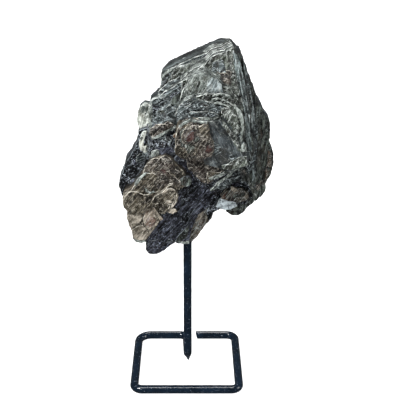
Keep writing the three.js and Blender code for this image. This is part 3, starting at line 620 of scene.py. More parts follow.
        (-25, 114.5), (-22, 116.5), (-20.5, 118), (-19, 115.5), (-18, 112.5), (-16.5, 109.5),
        (-17.5, 106.5), (-20.5, 102.5), (-23, 103), (-25, 105.5), (-25.5, 110)], torn=0.9),
    "pale_pink": Ledge("pink_tan", "pale_slab", 1.5, [
        (-24.5, 109), (-23, 111.5), (-21, 112), (-19, 111.5), (-18, 109.5), (-19, 107),
        (-21, 104.5), (-23.5, 105), (-24.5, 106.5)], torn=1.0),
    "pale_left": Ledge("tan", "pale_slab", 0.8, [
        (-35, 112), (-31.5, 113), (-28, 114), (-25.5, 112.5), (-27, 108.5), (-30, 105),
        (-33, 103), (-34.5, 107)], torn=0.6),
    "pale_foot": Ledge("tan", "pale_slab", 1.2, [
        (-32.5, 102.5), (-29.5, 104.5), (-26, 105.5), (-23.5, 103), (-22.5, 100), (-25, 96),
        (-28.5, 95.5), (-31.5, 97)], torn=0.5),
    "pale_rim": Ledge("pearl", "pale_slab", 0.4, [
        (-32.5, 96), (-30, 95), (-27.5, 94.5), (-25, 95), (-24.5, 94), (-27.5, 93),
        (-30.5, 93.5)], torn=0.3),
    "edge_stack_a": Ledge("stack", "right_flank", 1.6, [
        (31, 202), (32.5, 199.5), (34.5, 191.5), (36.5, 182), (38.5, 172.5), (39, 163), (40, 152),
        (40, 141), (40, 131.5), (38, 129.5), (37.5, 141.5), (37, 152.5), (36.5, 163.5),
        (35.5, 173), (33.5, 182.5), (32, 192)], torn=0.4),
    "edge_stack_b": Ledge("flank", "right_flank", 1.2, [
        (38.5, 179.5), (40.5, 175.5), (41.5, 167), (42.5, 157.5), (43, 148), (42.5, 139.5),
        (41, 132.5), (40.5, 141), (40.5, 152), (39.5, 163), (38.5, 172.5)], torn=0.4),
    "shelf_lip_upper": Ledge("pearl", "front_shelf", 1.5, [
        (12.5, 139), (14.5, 140), (17.5, 141), (21, 143), (24, 144.5), (28.5, 146), (33.5, 148.5),
        (34, 147.5), (29, 145), (24.5, 143), (21.5, 141.5), (18, 139.5), (15, 138.5),
        (13, 138)], torn=0.9),
    "shelf_lip_lower": Ledge("pearl", "front_shelf", 0.9, [
        (13.5, 131.5), (15.5, 134), (17.5, 136.5), (20, 138.5), (22.5, 140.5), (25.5, 143.5),
        (26, 142.5), (23.5, 139.5), (20.5, 137), (18.5, 135), (16.5, 133),
        (14, 130.5)], torn=0.9),
    "panel_lip": Ledge("pearl", "left_panel", 0.8, [
        (-20, 159.5), (-17, 161), (-13.5, 163), (-10, 165), (-6.5, 167.5), (-6, 166.5),
        (-9.5, 164), (-13, 162), (-16.5, 160), (-20, 158.5)], torn=0.9),
}

# What a flake split off a book may look like.
FLAKE_FINISHES = {
    "smooth": ["smooth", "slate"],
    "grey": ["grey", "grey", "slate", "brown"],
    "pearl": ["pearl", "grey"],
    "slate": ["slate", "slate", "grey", "black"],
    "black": ["black", "black", "foot", "slate"],
    "foot": ["foot", "foot", "black"],
    "brown": ["brown", "brown", "olive", "grey"],
    "olive": ["olive", "olive", "brown", "tan"],
    "tan": ["tan", "tan", "olive"],
    "silver": ["silver", "pearl"],
    "flank": ["flank", "flank", "black", "brown"],
    "rust": ["rust", "brown", "flank"],
    "feldspar": ["feldspar"],
}

# A sheet's bevelled edge and the broken side below it. Other finishes have grey layers, with an
# edge that is bright on the outer sheets and grey on those between.
RIMS = {
    **dict.fromkeys(["black", "foot", "flank"], ("dark_edge", "black_layers")),
    **dict.fromkeys(["lobe", "red_brown"], ("dark_edge", "brown_layers")),
    **dict.fromkeys(["olive", "brown", "tan", "pink_tan", "rust", "rust_spot"],
                    ("brown_edge", "brown_layers")),
}


def sheet_finishes(finish, is_outer):
    """The materials of a sheet's face, of its bevelled edge and of its broken side."""
    edge, side = RIMS.get(finish, ("bright_edge" if is_outer else "grey_edge", "grey_layers"))
    return [FINISHES[finish], FINISHES[edge], FINISHES[side]]


# ---- Finishes: wavelengths and heights are millimetres, colours are 8-bit display values ----

# The way that a torn edge faces where it gets painted light, with painted shade on the sides
# turned away: up, to the left and to the front.
PAINTED_LIGHT_SIDE = (-0.5, -0.35, 0.8)


def linear(colour):
    """A linear colour from 8-bit display values."""
    parts = [level / 255 for level in colour]
    return (*(part / 12.92 if part <= 0.04045 else ((part + 0.055) / 1.055) ** 2.4
              for part in parts), 1)


def shaded(colour, share):
    """A colour made darker or lighter: each level times this share."""
    return tuple(level * share for level in colour)


class Value:
    """A number that changes over a surface. Sums and products of it add Math nodes."""

    def __init__(self, paint, socket):
        self.paint = paint
        self.socket = socket

    def maths(self, operation, first, second=0.0):
        return self.paint.value("ShaderNodeMath", {"operation": operation}, {0: first, 1: second})

    def __add__(self, other):
        return self.maths("ADD", self, other)

    __radd__ = __add__

    def __sub__(self, other):
        return self.maths("SUBTRACT", self, other)

    def __rsub__(self, other):
        return self.maths("SUBTRACT", other, self)

    def __mul__(self, other):
        return self.maths("MULTIPLY", self, other)

    __rmul__ = __mul__

    def part(self):
        """What is left above the whole number."""
        return self.maths("FRACT", self)

    def rising(self, low, high):
        """0 below low, 1 above high and smooth between. With low above high it falls."""
        return self.paint.value("ShaderNodeMapRange", {"interpolation_type": "SMOOTHSTEP"},
                                {"Value": self, "From Min": low, "From Max": high})


class Paint:
    """A material in the making, on a Principled shader."""

    def __init__(self, name, shine):
        self.material = bpy.data.materials.new(name)
        self.material.use_nodes = True
        self.tree = self.material.node_tree
        self.shader = self.tree.nodes["Principled BSDF"]
        self.shader.inputs["Specular IOR Level"].default_value = shine
        place = self.node("ShaderNodeTexCoord").outputs["Object"]
        self.spot = self.stretched(place, (1 / MM, 1 / MM, 1 / MM))

    def node(self, kind, settings=None, sockets=None):
        """A new node: its settings first, then the values or links of its sockets."""
        made = self.tree.nodes.new(kind)
        for key, setting in (settings or {}).items():
            if key == "stops":
                self.set_stops(made.color_ramp, setting)
            else:
                setattr(made, key, setting)
        for key, value in (sockets or {}).items():
            self.feed(made.inputs[key], value)
        return made

    def feed(self, socket, value):
        """Link a socket to a value that changes, or set it to a plain one."""
        if isinstance(value, Value):
            value = value.socket
        if isinstance(value, bpy.types.NodeSocket):
            self.tree.links.new(value, socket)
        else:
            socket.default_value = value

    @staticmethod
    def set_stops(ramp, stops):
        while len(ramp.elements) < len(stops):
            ramp.elements.new(1)
        for element, (position, colour) in zip(ramp.elements, stops):
            element.position = position
            element.color = linear(colour)

    def value(self, kind, settings=None, sockets=None, output=0):
        """One output of a new node, as a number for Python expressions."""
        return Value(self, self.node(kind, settings, sockets).outputs[output])

    def vector(self, operation, first, second, output="Vector"):
        made = self.node("ShaderNodeVectorMath", {"operation": operation}, {0: first, 1: second})
        return made.outputs[output]

    def stretched(self, vector, scale):
        """Places scaled along each axis: a scale under 1 draws a pattern out along it."""
        return self.vector("MULTIPLY", vector, scale)

    def along(self, angle):
        """Places turned so that x runs along a grain that rises at this angle on the show side."""
        return self.node("ShaderNodeVectorRotate", {"rotation_type": "Y_AXIS"},
                         {"Vector": self.spot, "Angle": math.radians(angle)}).outputs[0]

    def noise(self, vector, wave, detail=3.0, distortion=0.0, roughness=0.55):
        """Cloudy noise around 0.5 whose patches are about a wave across."""
        sockets = {"Vector": vector, "Scale": 1 / wave, "Detail": detail,
                   "Roughness": roughness, "Distortion": distortion}
        return self.value("ShaderNodeTexNoise", None, sockets)

    def flakes(self, vector, wave):
        """Small flakes: a random number in each, and the height of its tilted face."""
        cell = self.node("ShaderNodeTexVoronoi", None, {"Vector": vector, "Scale": 1 / wave})
        tilt = self.vector("SUBTRACT", cell.outputs["Color"], (0.5, 0.5, 0.5))
        reach = self.vector("SUBTRACT", vector, cell.outputs["Position"])
        height = Value(self, self.vector("DOT_PRODUCT", tilt, reach, "Value"))
        chance = self.value("ShaderNodeSeparateColor", None, {"Color": cell.outputs["Color"]})
        return chance, height

    def plates(self, vector, wave):
        """Plates with torn borders: a random number, a tilted face, and 1 on the raised rim, where
        a painted highlight goes.
        """
        tear = self.node("ShaderNodeTexNoise", None, {"Vector": vector, "Scale": 0.6,
                                                      "Detail": 3}).outputs["Color"]
        torn = self.vector("ADD", vector, self.stretched(tear, (2.5, 2.5, 2.5)))
        chance, height = self.flakes(torn, wave)
        border = self.value("ShaderNodeTexVoronoi", {"feature": "DISTANCE_TO_EDGE"},
                            {"Vector": torn, "Scale": 1 / wave})
        # The rim mask marks the border on a plate's raised side, which mica() paints as a
        # highlight.
        return chance, height, border.rising(0.07, 0.03) * height.rising(-0.1, 0.3)

    def ramp(self, value, stops):
        """Colours that follow a value, from stops of a position and a colour."""
        return self.node("ShaderNodeValToRGB", {"stops": stops}, {"Fac": value}).outputs[0]

    def tinted(self, share, below, tint):
        """A share of one plain colour over what lies below."""
        return self.node("ShaderNodeMix", {"data_type": "RGBA"},
                         {0: share, 6: below, 7: linear(tint)}).outputs[2]

    def finished(self, colour, roughness, height_mm):
        """The material, with what changes over its surface fed to the shader."""
        bump = self.node("ShaderNodeBump", None, {"Strength": 1, "Distance": MM,
                                                  "Height": height_mm})
        self.feed(self.shader.inputs["Base Color"], colour)
        self.feed(self.shader.inputs["Roughness"], roughness)
        self.feed(self.shader.inputs["Normal"], bump.outputs[0])
        return self.material


def mica(name, dark, mid, pale, warm, warm_share=0.4, bright=(176, 182, 178), grain=40,
         pitch=2.2, sway=4, lines=0.6, hairs=0.6, plates=0.5, grit=0.22, step=0.3, tilt=0.5,
         painted_glint_strength=0.7, shine=0.3):
    """Mica seen on its cleavage: lapped sheets along the grain, small plates, and painted light
    and shade.

    grain is the angle of the lapped sheets, pitch the distance between them and sway how far
    they wander, in pitches. lines, hairs, plates and the glint strength say how bright the
    painted highlights on the sheets' lips, the finest lines and the plates' rims are, and the
    painted glints; hairs also sets the painted shade in the furrows between the finest lines.
    bright is the colour of the painted highlights, and grit says how mottled the tone is. step
    and tilt are the heights of a lapped sheet and of a small flake.
    """
    paint = Paint(name, shine)
    spot = paint.spot
    turned = paint.along(grain)

    # Clouds, and small flakes at random tilts.
    cloud = paint.noise(spot, 11, 3, 0.6)
    mottle = paint.noise(spot, 1.7, 4, 0.4, 0.75)
    chance, slope = paint.flakes(paint.stretched(turned, (0.5, 1, 1)), 1.5)
    glint, glint_slope = paint.flakes(spot, 0.5)
    plate, plate_slope, rim = paint.plates(turned, 4.5)

    # Streaks and hairlines along the grain, which bends.
    bend = paint.noise(paint.stretched(turned, (0.5, 1, 1)), 13, 2, 0.2)
    shift = paint.node("ShaderNodeCombineXYZ", None, {"Z": bend * (sway * pitch)}).outputs[0]
    swayed = paint.vector("ADD", turned, shift)
    across = paint.value("ShaderNodeSeparateXYZ", None, {"Vector": swayed}, 2)
    streak = paint.noise(paint.stretched(swayed, (0.15, 1, 1)), 1.3, 3, 0.4, 0.7)
    hair = paint.noise(paint.stretched(swayed, (0.07, 1, 1)), 0.8, 2, 0, 0.6)

    # Lapped sheets, only in places: each has a painted highlight on its lip and a painted shadow
    # in the gap below it.
    held = paint.noise(paint.vector("ADD", spot, (20, 0, 70)), 6, 3, 0.5).rising(0.42, 0.56)
    lap = (across * (1 / pitch) + mottle * 0.3).part()
    painted_lip_highlight = lap.rising(0.78, 0.95) * held
    painted_gap_shadow = lap.rising(0.3, 0) * held

    # Tone, then rusty clouds, then painted shade: painted shadow in the gaps below the lapped
    # sheets' lips and in the furrows between the finest lines.
    shade = (cloud * 0.22 + mottle * grit + streak * (0.48 - grit) + hair * 0.16
             + chance * 0.08 + plate * 0.06)
    colour = paint.ramp(shade, [(0.44, dark), (0.5, mid), (0.57, pale)])
    warmth = paint.noise(paint.vector("ADD", spot, (0, 50, 0)), 8, 3, 0.4)
    colour = paint.tinted(warmth.rising(0.52, 0.68) * warm_share, colour, warm)
    painted_shade = painted_gap_shadow * 0.7 + hair.rising(0.45, 0.36) * hairs * 0.7
    colour = paint.tinted(painted_shade, colour, shaded(dark, 0.5))

    # Painted highlights in the colour bright: painted glints, and painted light on the ridges of
    # hairlines, the lips of lapped sheets and the rims of plates.
    painted_glint = glint.rising(0.85, 0.92) * mottle.rising(0.46, 0.58)
    painted_ridge_highlight = hair.rising(0.57, 0.68) * cloud.rising(0.4, 0.6) * hairs
    painted_highlight = (painted_lip_highlight * mottle.rising(0.36, 0.58) * lines + painted_ridge_highlight * 0.7 + painted_glint * painted_glint_strength
            + rim * mottle.rising(0.42, 0.6) * plates)
    colour = paint.tinted(painted_highlight, colour, bright)

    rough = 0.3 + 0.2 * (mottle - 0.5) - 0.12 * painted_glint
    height = (slope * tilt + glint_slope * 0.4 + streak * 0.4 + hair * 0.4 + mottle * 1.6 * grit
              + lap * held * step + plate_slope * plates * 0.7)
    return paint.finished(colour, rough, height)


def sheet_edge(name, dark, mid, pale):
    """The thin broken edge of a sheet: frayed, with painted light on its upper left and painted
    shade below.
    """
    paint = Paint(name, 0.5)
    patch = paint.noise(paint.spot, 6, 3, 0.5)
    crumb = paint.noise(paint.spot, 0.9, 3)
    normal = paint.node("ShaderNodeNewGeometry").outputs["Normal"]
    # Painted light and shade: the edge is made lighter where it faces up, to the left and to the
    # front, and darker where it faces away.
    painted_light_share = Value(paint, paint.vector("DOT_PRODUCT", normal, PAINTED_LIGHT_SIDE, "Value"))
    shade = patch * 0.5 + crumb * 0.3 + painted_light_share.rising(-0.1, 0.9) * 0.2
    colour = paint.ramp(shade, [(0.42, dark), (0.54, mid), (0.66, pale)])
    return paint.finished(colour, 0.3 + 0.2 * crumb, crumb * 0.5)


def layers(name, dark, mid, pale):
    """The broken side of a stack of sheets: fine uneven layers, some of them bright."""
    paint = Paint(name, 0.3)
    spot = paint.spot
    patch = paint.noise(spot, 8, 4, 0.5)
    crumb = paint.noise(spot, 0.8, 3)
    fine = paint.noise(paint.stretched(spot, (0.06, 1, 0.06)), 2, 4, 0.1, 0.7)
    broad = paint.noise(paint.stretched(spot, (0.12, 1, 0.12)), 6, 2, 0.2)
    shade = fine * 0.4 + broad * 0.25 + patch * 0.2 + crumb * 0.15
    colour = paint.ramp(shade, [(0.43, dark), (0.5, mid), (0.6, pale)])
    line = fine.rising(0.55, 0.66) * patch.rising(0.36, 0.56)
    colour = paint.tinted(line * 0.7, colour, shaded(pale, 1.3))
    return paint.finished(colour, 0.35 + 0.2 * patch, fine + broad * 0.5 + crumb * 0.3)


def granular(name, dark, pale):
    """Feldspar: a sugary, bluish-white grain."""
    paint = Paint(name, 0.5)
    chance, slope = paint.flakes(paint.spot, 1.2)
    cloud = paint.noise(paint.spot, 3, 4, 0.3)
    colour = paint.ramp(chance * 0.35 + cloud * 0.65, [(0.35, dark), (0.65, pale)])
    return paint.finished(colour, 0.35 + 0.3 * cloud, slope + cloud * 0.5)


def black_enamel():
    """Stove-black lacquer on steel: slightly orange-peeled, with lighter, rougher spots."""
    paint = Paint("black_enamel", 0.5)
    spot = paint.spot
    peel = paint.noise(spot, 1.6, 2)
    patch = paint.noise(spot, 6, 3, 0.4)
    # Lighter, rougher spots in the lacquer, mixed over its colour.
    pale_rough_spot = paint.noise(paint.vector("ADD", spot, (9, 9, 9)), 1.1, 4).rising(0.63, 0.7)
    colour = paint.ramp(patch, [(0.35, (6, 15, 24)), (0.65, (13, 26, 39))])
    colour = paint.tinted(pale_rough_spot * 0.7, colour, (128, 136, 148))
    rough = 0.06 + 0.1 * patch + 0.3 * pale_rough_spot
    return paint.finished(colour, rough, peel * 0.12 + patch * 0.04)


FINISHES = {
    "grey": mica("grey_mica", (15, 18, 15), (41, 45, 40), (90, 97, 88), (44, 38, 30), grain=66,
                 pitch=2.6, plates=0.8),
    "pearl": mica("pearl_mica", (50, 55, 52), (94, 101, 97), (150, 158, 153), (74, 69, 56),
                  grain=60),
    "frost": mica("frosty_mica", (84, 93, 94), (136, 146, 147), (190, 199, 200), (102, 103, 96),
                  grain=62, pitch=3, grit=0.12, tilt=0.4, lines=0.5, plates=0.2),
    "slate": mica("slate_mica", (13, 17, 18), (38, 44, 45), (88, 97, 98), (42, 38, 30),
                  bright=(174, 185, 187), grain=28, pitch=2.1, lines=0.8, hairs=0.9,
                  plates=0.8),
    "smooth": mica("smooth_slate_mica", (29, 33, 35), (47, 52, 55), (76, 83, 86), (50, 48, 43),
                   grain=-55, pitch=5, lines=0.15, hairs=0.3, plates=0.15, grit=0.14, step=0.08,
                   tilt=0.2, painted_glint_strength=0.3),
    "stack": mica("stacked_mica", (13, 16, 16), (44, 51, 51), (104, 115, 115), (40, 40, 34),
                  bright=(180, 190, 190), grain=101, pitch=1.7, sway=2, lines=0.8, hairs=1,
                  plates=0.1, grit=0.1, tilt=0.3),
    "black": mica("black_mica", (1, 1, 2), (3, 3, 4), (19, 21, 25), (13, 10, 9),
                  bright=(186, 196, 206), grain=60, pitch=1.9, lines=0.35, hairs=0.3, plates=0.4,
                  grit=0.16, shine=0.22, painted_glint_strength=1),
    "foot": mica("blue_black_mica", (3, 3, 6), (17, 18, 24), (68, 71, 83), (30, 25, 24),
                 bright=(136, 143, 158), grain=48, pitch=1.6, sway=2.5, lines=0.5, hairs=0.9,
                 plates=0.15, grit=0.1, shine=0.25, painted_glint_strength=1),
    "brown": mica("brown_mica", (9, 7, 6), (27, 24, 21), (74, 68, 61), (37, 24, 20),
                  bright=(164, 160, 151), grain=50, pitch=2, lines=0.5, plates=0.9, grit=0.15),
    "olive": mica("olive_mica", (11, 9, 6), (34, 30, 23), (86, 80, 68), (36, 26, 19),
                  bright=(160, 155, 142), grain=50, pitch=1.8, sway=2, lines=0.6, hairs=1,
                  plates=0.4, grit=0.08),
    "tan": mica("tan_mica", (72, 67, 58), (116, 110, 99), (156, 149, 137), (116, 99, 86),
                bright=(186, 180, 168), grain=54, pitch=2, sway=2.5, lines=0.4, hairs=0.8,
                plates=0.1, grit=0.1, tilt=0.3),
    "pink_tan": mica("pinkish_mica", (70, 58, 51), (106, 91, 82), (142, 128, 117),
                     (116, 93, 82), grain=54, lines=0.3, plates=0.1, grit=0.14, tilt=0.3),
    "silver": mica("silver_mica", (98, 103, 95), (174, 179, 170), (234, 238, 231), (112, 106, 92),
                   bright=(236, 240, 236), grain=80, pitch=1.7, tilt=0.8),
    "flank": mica("dark_green_mica", (7, 8, 7), (31, 34, 30), (86, 93, 86), (56, 44, 33),
                  bright=(128, 137, 135), grain=84, pitch=1.9, sway=3, lines=0.5, hairs=0.9,
                  grit=0.14, shine=0.25),
    "lobe": mica("brown_rimmed_mica", (16, 13, 10), (50, 41, 33), (100, 86, 72), (84, 58, 42),
                 grain=80, warm_share=0.7, lines=0.4, shine=0.25),
    "rust": mica("rusty_mica", (18, 15, 12), (50, 45, 38), (106, 101, 92), (78, 48, 30),
                 warm_share=0.6, grain=58, hairs=0.9, grit=0.14),
    "rust_spot": mica("iron_stain", (52, 40, 30), (96, 74, 54), (142, 120, 94), (88, 60, 40),
                      painted_glint_strength=0.1, lines=0.1, hairs=0.2),
    "red_brown": mica("red_brown_mica", (17, 8, 7), (38, 21, 19), (66, 44, 40), (26, 12, 11),
                      painted_glint_strength=0.2, lines=0.1, hairs=0.2, plates=0.2, tilt=0.4),
    "feldspar": granular("feldspar", (96, 104, 108), (176, 187, 192)),
    "bright_edge": sheet_edge("bright_edge", (10, 12, 10), (64, 70, 65), (204, 210, 206)),
    "grey_edge": sheet_edge("grey_edge", (8, 9, 8), (44, 49, 46), (156, 163, 158)),
    "brown_edge": sheet_edge("brown_edge", (34, 31, 26), (118, 113, 102), (224, 220, 208)),
    "dark_edge": sheet_edge("dark_edge", (5, 6, 7), (32, 34, 36), (134, 142, 148)),
    "grey_layers": layers("grey_layers", (4, 5, 5), (19, 22, 22), (88, 96, 96)),
    "brown_layers": layers("brown_layers", (10, 9, 7), (44, 40, 34), (112, 105, 93)),
    "black_layers": layers("black_layers", (4, 4, 5), (20, 22, 24), (74, 80, 85)),
    "black_enamel": black_enamel(),
}


# ---- Modelling: objects, bands and tubes of rings of points, and shading ----

def modelled(name, points, faces, finishes):
    """An object of one mesh, with a material slot for each finish."""
    mesh = bpy.data.meshes.new(name)
    mesh.from_pydata(points, [], faces)
    for finish in finishes:
        mesh.materials.append(finish)
    return bpy.data.objects.new(name, mesh)


def shown(thing):
    """The same object, put in the scene."""
    bpy.context.scene.collection.objects.link(thing)
    return thing


def smoothed(thing, crease):
    """Smooth shading, but for the edges sharper than this angle in degrees."""
    mesh = thing.data
    mesh.polygons.foreach_set("use_smooth", [True] * len(mesh.polygons))
    mesh.set_sharp_from_angle(angle=math.radians(crease))


def band(count, first, second):
    """The faces between two rings of points, each given by the number of its first point."""
    pairs = [(i, (i + 1) % count) for i in range(count)]
    return [[first + j, first + i, second + i, second + j] for i, j in pairs]


def tube(name, rings, finish):
    """A closed tube through rings of points, which run anticlockwise seen from its last end."""
    count = len(rings[0])
    starts = [count * number for number in range(len(rings))]
    faces = []
    for before, after in zip(starts, starts[1:]):
        faces += band(count, after, before)
    faces.append(list(reversed(range(count))))
    faces.append([starts[-1] + i for i in range(count)])
    return modelled(name, [point for ring in rings for point in ring], faces, [FINISHES[finish]])


# ---- Sheets: closed slabs with a rippled exposed face and a broken, bevelled rim ----

# How fine a sheet's rim and face are. A book's outer face is finer than the sheets below it.
RIM_PITCH = 1.3
LEDGE_RIM_PITCH = 0.9
FLAKE_RIM_PITCH = 1.0
FACE_PITCH = 1.2
COVERED_PITCH = 2.0

# The points on a face lie in rows, each moved by up to this share of the pitch, and keep clear of
# its rim by this share.
ROW_PITCH = 0.87
POINT_JITTER = 0.25
RIM_CLEARANCE = 0.6

# A bevel's width wanders round the rim, as a share of its depth.
BEVEL_MEAN = 0.6
BEVEL_SWING = 0.4
BEVEL_TURN = 1.7

# A book's sheets: their thickness, the depth of their bevel, and the least depth in which the
# last one is rooted. Within a step the sheets creep so far, and lie loose by so much. Every so
# many sheets comes an outer one with a bright edge.
SHEET_THICKNESS = (0.7, 1.7)
SHEET_BEVEL = (0.22, 0.45)
SHEET_ROOT = 1
SHEET_SHIFT = 0.15
SHEET_CREEP = 0.3
SHEET_LOOSENESS = 0.4
OUTER_EVERY = 3

# Torn rims: broad tongues and notches, which are larger on the stone's back, and a fine fray.
FRONT_TEAR = 0.5
BACK_TEAR = 2.0
TONGUE_WAVE = 7
NOTCH_WAVE = 5
FRAY = 0.35
FRAY_WAVE = 1.6

# Flakes: one for each so many square millimetres of a face. They are angular, narrower than they
# are long, and turned from the grain by about so many radians.
FLAKE_AREA = 60
FLAKE_TRIES = 40
FLAKE_SIZES = (1.6, 2.2, 3, 3.6, 4.5, 6, 8)
FLAKE_CORNERS = (6, 9)
FLAKE_REACH = (0.7, 1.15)
FLAKE_WIDTH = 0.6
FLAKE_TURN = 0.4
FLAKE_FRAY = 0.25
FLAKE_FRAY_WAVE = 1.3
FLAKE_PROUD = (0.25, 0.8)
FLAKE_SUNK = 0.1
FLAKE_BEVEL = 0.25
FLAKE_ROOT = 1.2

# Ledges, which are laid one by one.
LEDGE_BEVEL = 0.28
LEDGE_ROOT = 2
LEDGE_SHIFT = 0.1
LEDGE_NOTCH_WAVE = 4
LEDGE_FRAY_WAVE = 1.3
LEDGE_WARP = 0.35
LEDGE_WARP_WAVE = 9


def cap_faces(ring, pitch, seed):
    """Extra points inside a ring, and triangles over the ring's points and them."""
    chance = random.Random(seed)
    tree = KDTree(len(ring))
    for number, (x, z) in enumerate(ring):
        tree.insert((x, z, 0), number)
    tree.balance()
    left, right, low, high = extent_of(ring)
    loose = []
    for row in range(int((high - low) / (pitch * ROW_PITCH)) + 1):
        for column in range(int((right - left) / pitch) + 1):
            jitter_x = chance.uniform(-POINT_JITTER, POINT_JITTER)
            jitter_z = chance.uniform(-POINT_JITTER, POINT_JITTER)
            x = left + (column + 0.5 * (row % 2) + jitter_x) * pitch
            z = low + (ROW_PITCH * row + jitter_z) * pitch
            if tree.find((x, z, 0))[2] > RIM_CLEARANCE * pitch:
                loose.append((x, z))
    count = len(ring)
    points = [Vector(point) for point in ring + loose]
    made = delaunay_2d_cdt(points, [], [list(range(count))], 1, 1e-6, True)
    # A ring that crosses itself gains points here. One plain face then fills it.
    if len(made[0]) != len(points):
        return [], [list(range(count))]
    # Only faces that come from the ring lie inside it.
    order = [origin[0] for origin in made[3]]
    within = [[order[i] for i in face] for face, source in zip(made[2], made[5]) if source]
    used = sorted({i for face in within for i in face if i >= count})
    renumbered = {old: count + new for new, old in enumerate(used)}
    faces = [[renumbered.get(i, i) for i in face] for face in within]
    return [loose[i - count] for i in used], faces


def slab(name, ring, facing, cap_y, back_y, bevel, pitch, finishes):
    """A closed slab: an exposed cap, a worn bevel, a broken side and a flat back.

    facing is -1 where the cap looks to -Y and 1 where it looks to +Y.
    """
    ring = anticlockwise(ring)
    count = len(ring)
    edge = pushed(ring, [-bevel * (BEVEL_MEAN + BEVEL_SWING * math.sin(i * BEVEL_TURN))
                         for i in range(count)])
    inner, caps = cap_faces(edge, pitch, name)
    cap = [placed(x, cap_y(x, z), z) for x, z in edge + inner]
    drop = [placed(x, cap_y(x, z) - facing * bevel, z) for x, z in ring]
    back = [placed(x, back_y(x, z), z) for x, z in ring]
    start_drop = len(cap)
    start_back = start_drop + count
    floor = [start_back + i for i in reversed(range(count))]
    faces = caps + band(count, 0, start_drop) + band(count, start_drop, start_back) + [floor]
    if facing > 0:
        faces = [face[::-1] for face in faces]
    made = modelled(name, cap + drop + back, faces, finishes)
    slots = [0] * len(caps) + [1] * count + [2] * count + [0]
    made.data.polygons.foreach_set("material_index", slots)
    return made


def sheet_ring(book, depth, layer):
    """The ragged outline of the sheet at this depth in its book."""
    ledge, within = divmod(depth / book.step, 1)
    moved = ledge + SHEET_CREEP * within
    growth = moved * book.spread
    if layer:
        growth += SHEET_LOOSENESS * noise.noise(Vector((layer * 0.9, book.number * 2.3, 0)))
    middle_x, middle_z = book.middle
    drift_x, drift_z = book.drift
    ring = []
    for x, z in resampled(book.outline, RIM_PITCH):
        dx = x - middle_x
        dz = z - middle_z
        scale = 1 + growth / math.hypot(dx, dz)
        ring.append((middle_x + dx * scale + moved * drift_x,
                     middle_z + dz * scale + moved * drift_z))
    ring = anticlockwise(ring)
    tear = BACK_TEAR if book.facing > 0 else FRONT_TEAR
    number = book.number
    torn = [tear * uneven(x, z, number + layer * 0.12, TONGUE_WAVE, 3)
            - tear * abs(uneven(x, z, number * 3.3 + layer * 0.15, NOTCH_WAVE))
            + FRAY * uneven(x, z, number * 9 + layer * 0.35, FRAY_WAVE)
            for x, z in ring]
    return pushed(ring, torn)


def book_sheet(book, layer, depth, bevel):
    """One sheet of a book, as a slab that reaches from its own level to the book's back."""
    level = book.face - book.facing * depth

    # Sheets that lie together dip nearly alike, so that a dip seldom bares the one behind.
    def cap_y(x, z):
        return book.face_y(level, x, z, layer * SHEET_SHIFT)

    def back_y(x, z):
        return book.plane_y(book.back, x, z)

    pitch = COVERED_PITCH if layer else FACE_PITCH
    finishes = sheet_finishes(book.finish, layer % OUTER_EVERY == 0)
    return slab(f"{book.name}_{layer}", sheet_ring(book, depth, layer), book.facing, cap_y,
                back_y, bevel, pitch, finishes)


def book_sheets(book):
    """Every sheet of a book, from its face inward."""
    chance = random.Random(book.name)
    sheets = []
    depth = 0.0
    while depth < abs(book.back - book.face) - SHEET_ROOT:
        thickness = chance.uniform(*SHEET_THICKNESS)
        bevel = chance.uniform(*SHEET_BEVEL)
        sheets.append(book_sheet(book, len(sheets), depth, bevel))
        depth += thickness
    return sheets


def flake_ring(x, z, size, turn, chance):
    """A small angular outline, longer than it is wide."""
    corners = chance.randint(*FLAKE_CORNERS)
    ring = []
    for i in range(corners):
        angle = 2 * math.pi * (i + chance.uniform(-0.3, 0.3)) / corners
        reach = size * chance.uniform(*FLAKE_REACH)
        u = reach * math.cos(angle)
        v = FLAKE_WIDTH * reach * math.sin(angle)
        ring.append((x + u * math.cos(turn) - v * math.sin(turn),
                     z + u * math.sin(turn) + v * math.cos(turn)))
    ring = resampled(ring, FLAKE_RIM_PITCH)
    torn = [FLAKE_FRAY * noise.noise(Vector((px / FLAKE_FRAY_WAVE, pz / FLAKE_FRAY_WAVE,
                                             size * 7)))
            for px, pz in ring]
    return pushed(ring, torn)


def book_flake(book, number, ring, middle, size, chance):
    """A thin remnant of a split-off sheet: proud at one side, it fades out at the other."""
    proud = chance.uniform(*FLAKE_PROUD)
    rise = chance.uniform(0, 2 * math.pi)
    lift_x = math.cos(rise) / size
    lift_z = math.sin(rise) / size

    def cap_y(x, z):
        tilt = 0.5 + 0.5 * (lift_x * (x - middle[0]) + lift_z * (z - middle[1]))
        return book.face_y(book.face, x, z, lift=proud * tilt - FLAKE_SUNK)

    def back_y(x, z):
        return book.plane_y(book.face - book.facing * FLAKE_ROOT, x, z)

    finishes = sheet_finishes(chance.choice(FLAKE_FINISHES[book.finish]), False)
    return slab(f"{book.name}_flake_{number}", ring, book.facing, cap_y, back_y, FLAKE_BEVEL,
                FACE_PITCH, finishes)


def book_flakes(book):
    """Flakes at random places on a book's face, each wholly inside its outline."""
    chance = random.Random(book.name + " flakes")
    count = round(abs(area_of(book.outline)) / FLAKE_AREA * book.flakes)
    left, right, low, high = extent_of(book.outline)
    flakes = []
    for _ in range(FLAKE_TRIES * count):
        if len(flakes) == count:
            break
        x = chance.uniform(left, right)
        z = chance.uniform(low, high)
        size = chance.choice(FLAKE_SIZES)
        turn = math.radians(book.grain[0]) + chance.gauss(0, FLAKE_TURN)
        ring = flake_ring(x, z, size, turn, chance)
        if all(is_inside(px, pz, book.outline) for px, pz in ring[::2]):
            flakes.append(book_flake(book, len(flakes), ring, (x, z), size, chance))
    return flakes


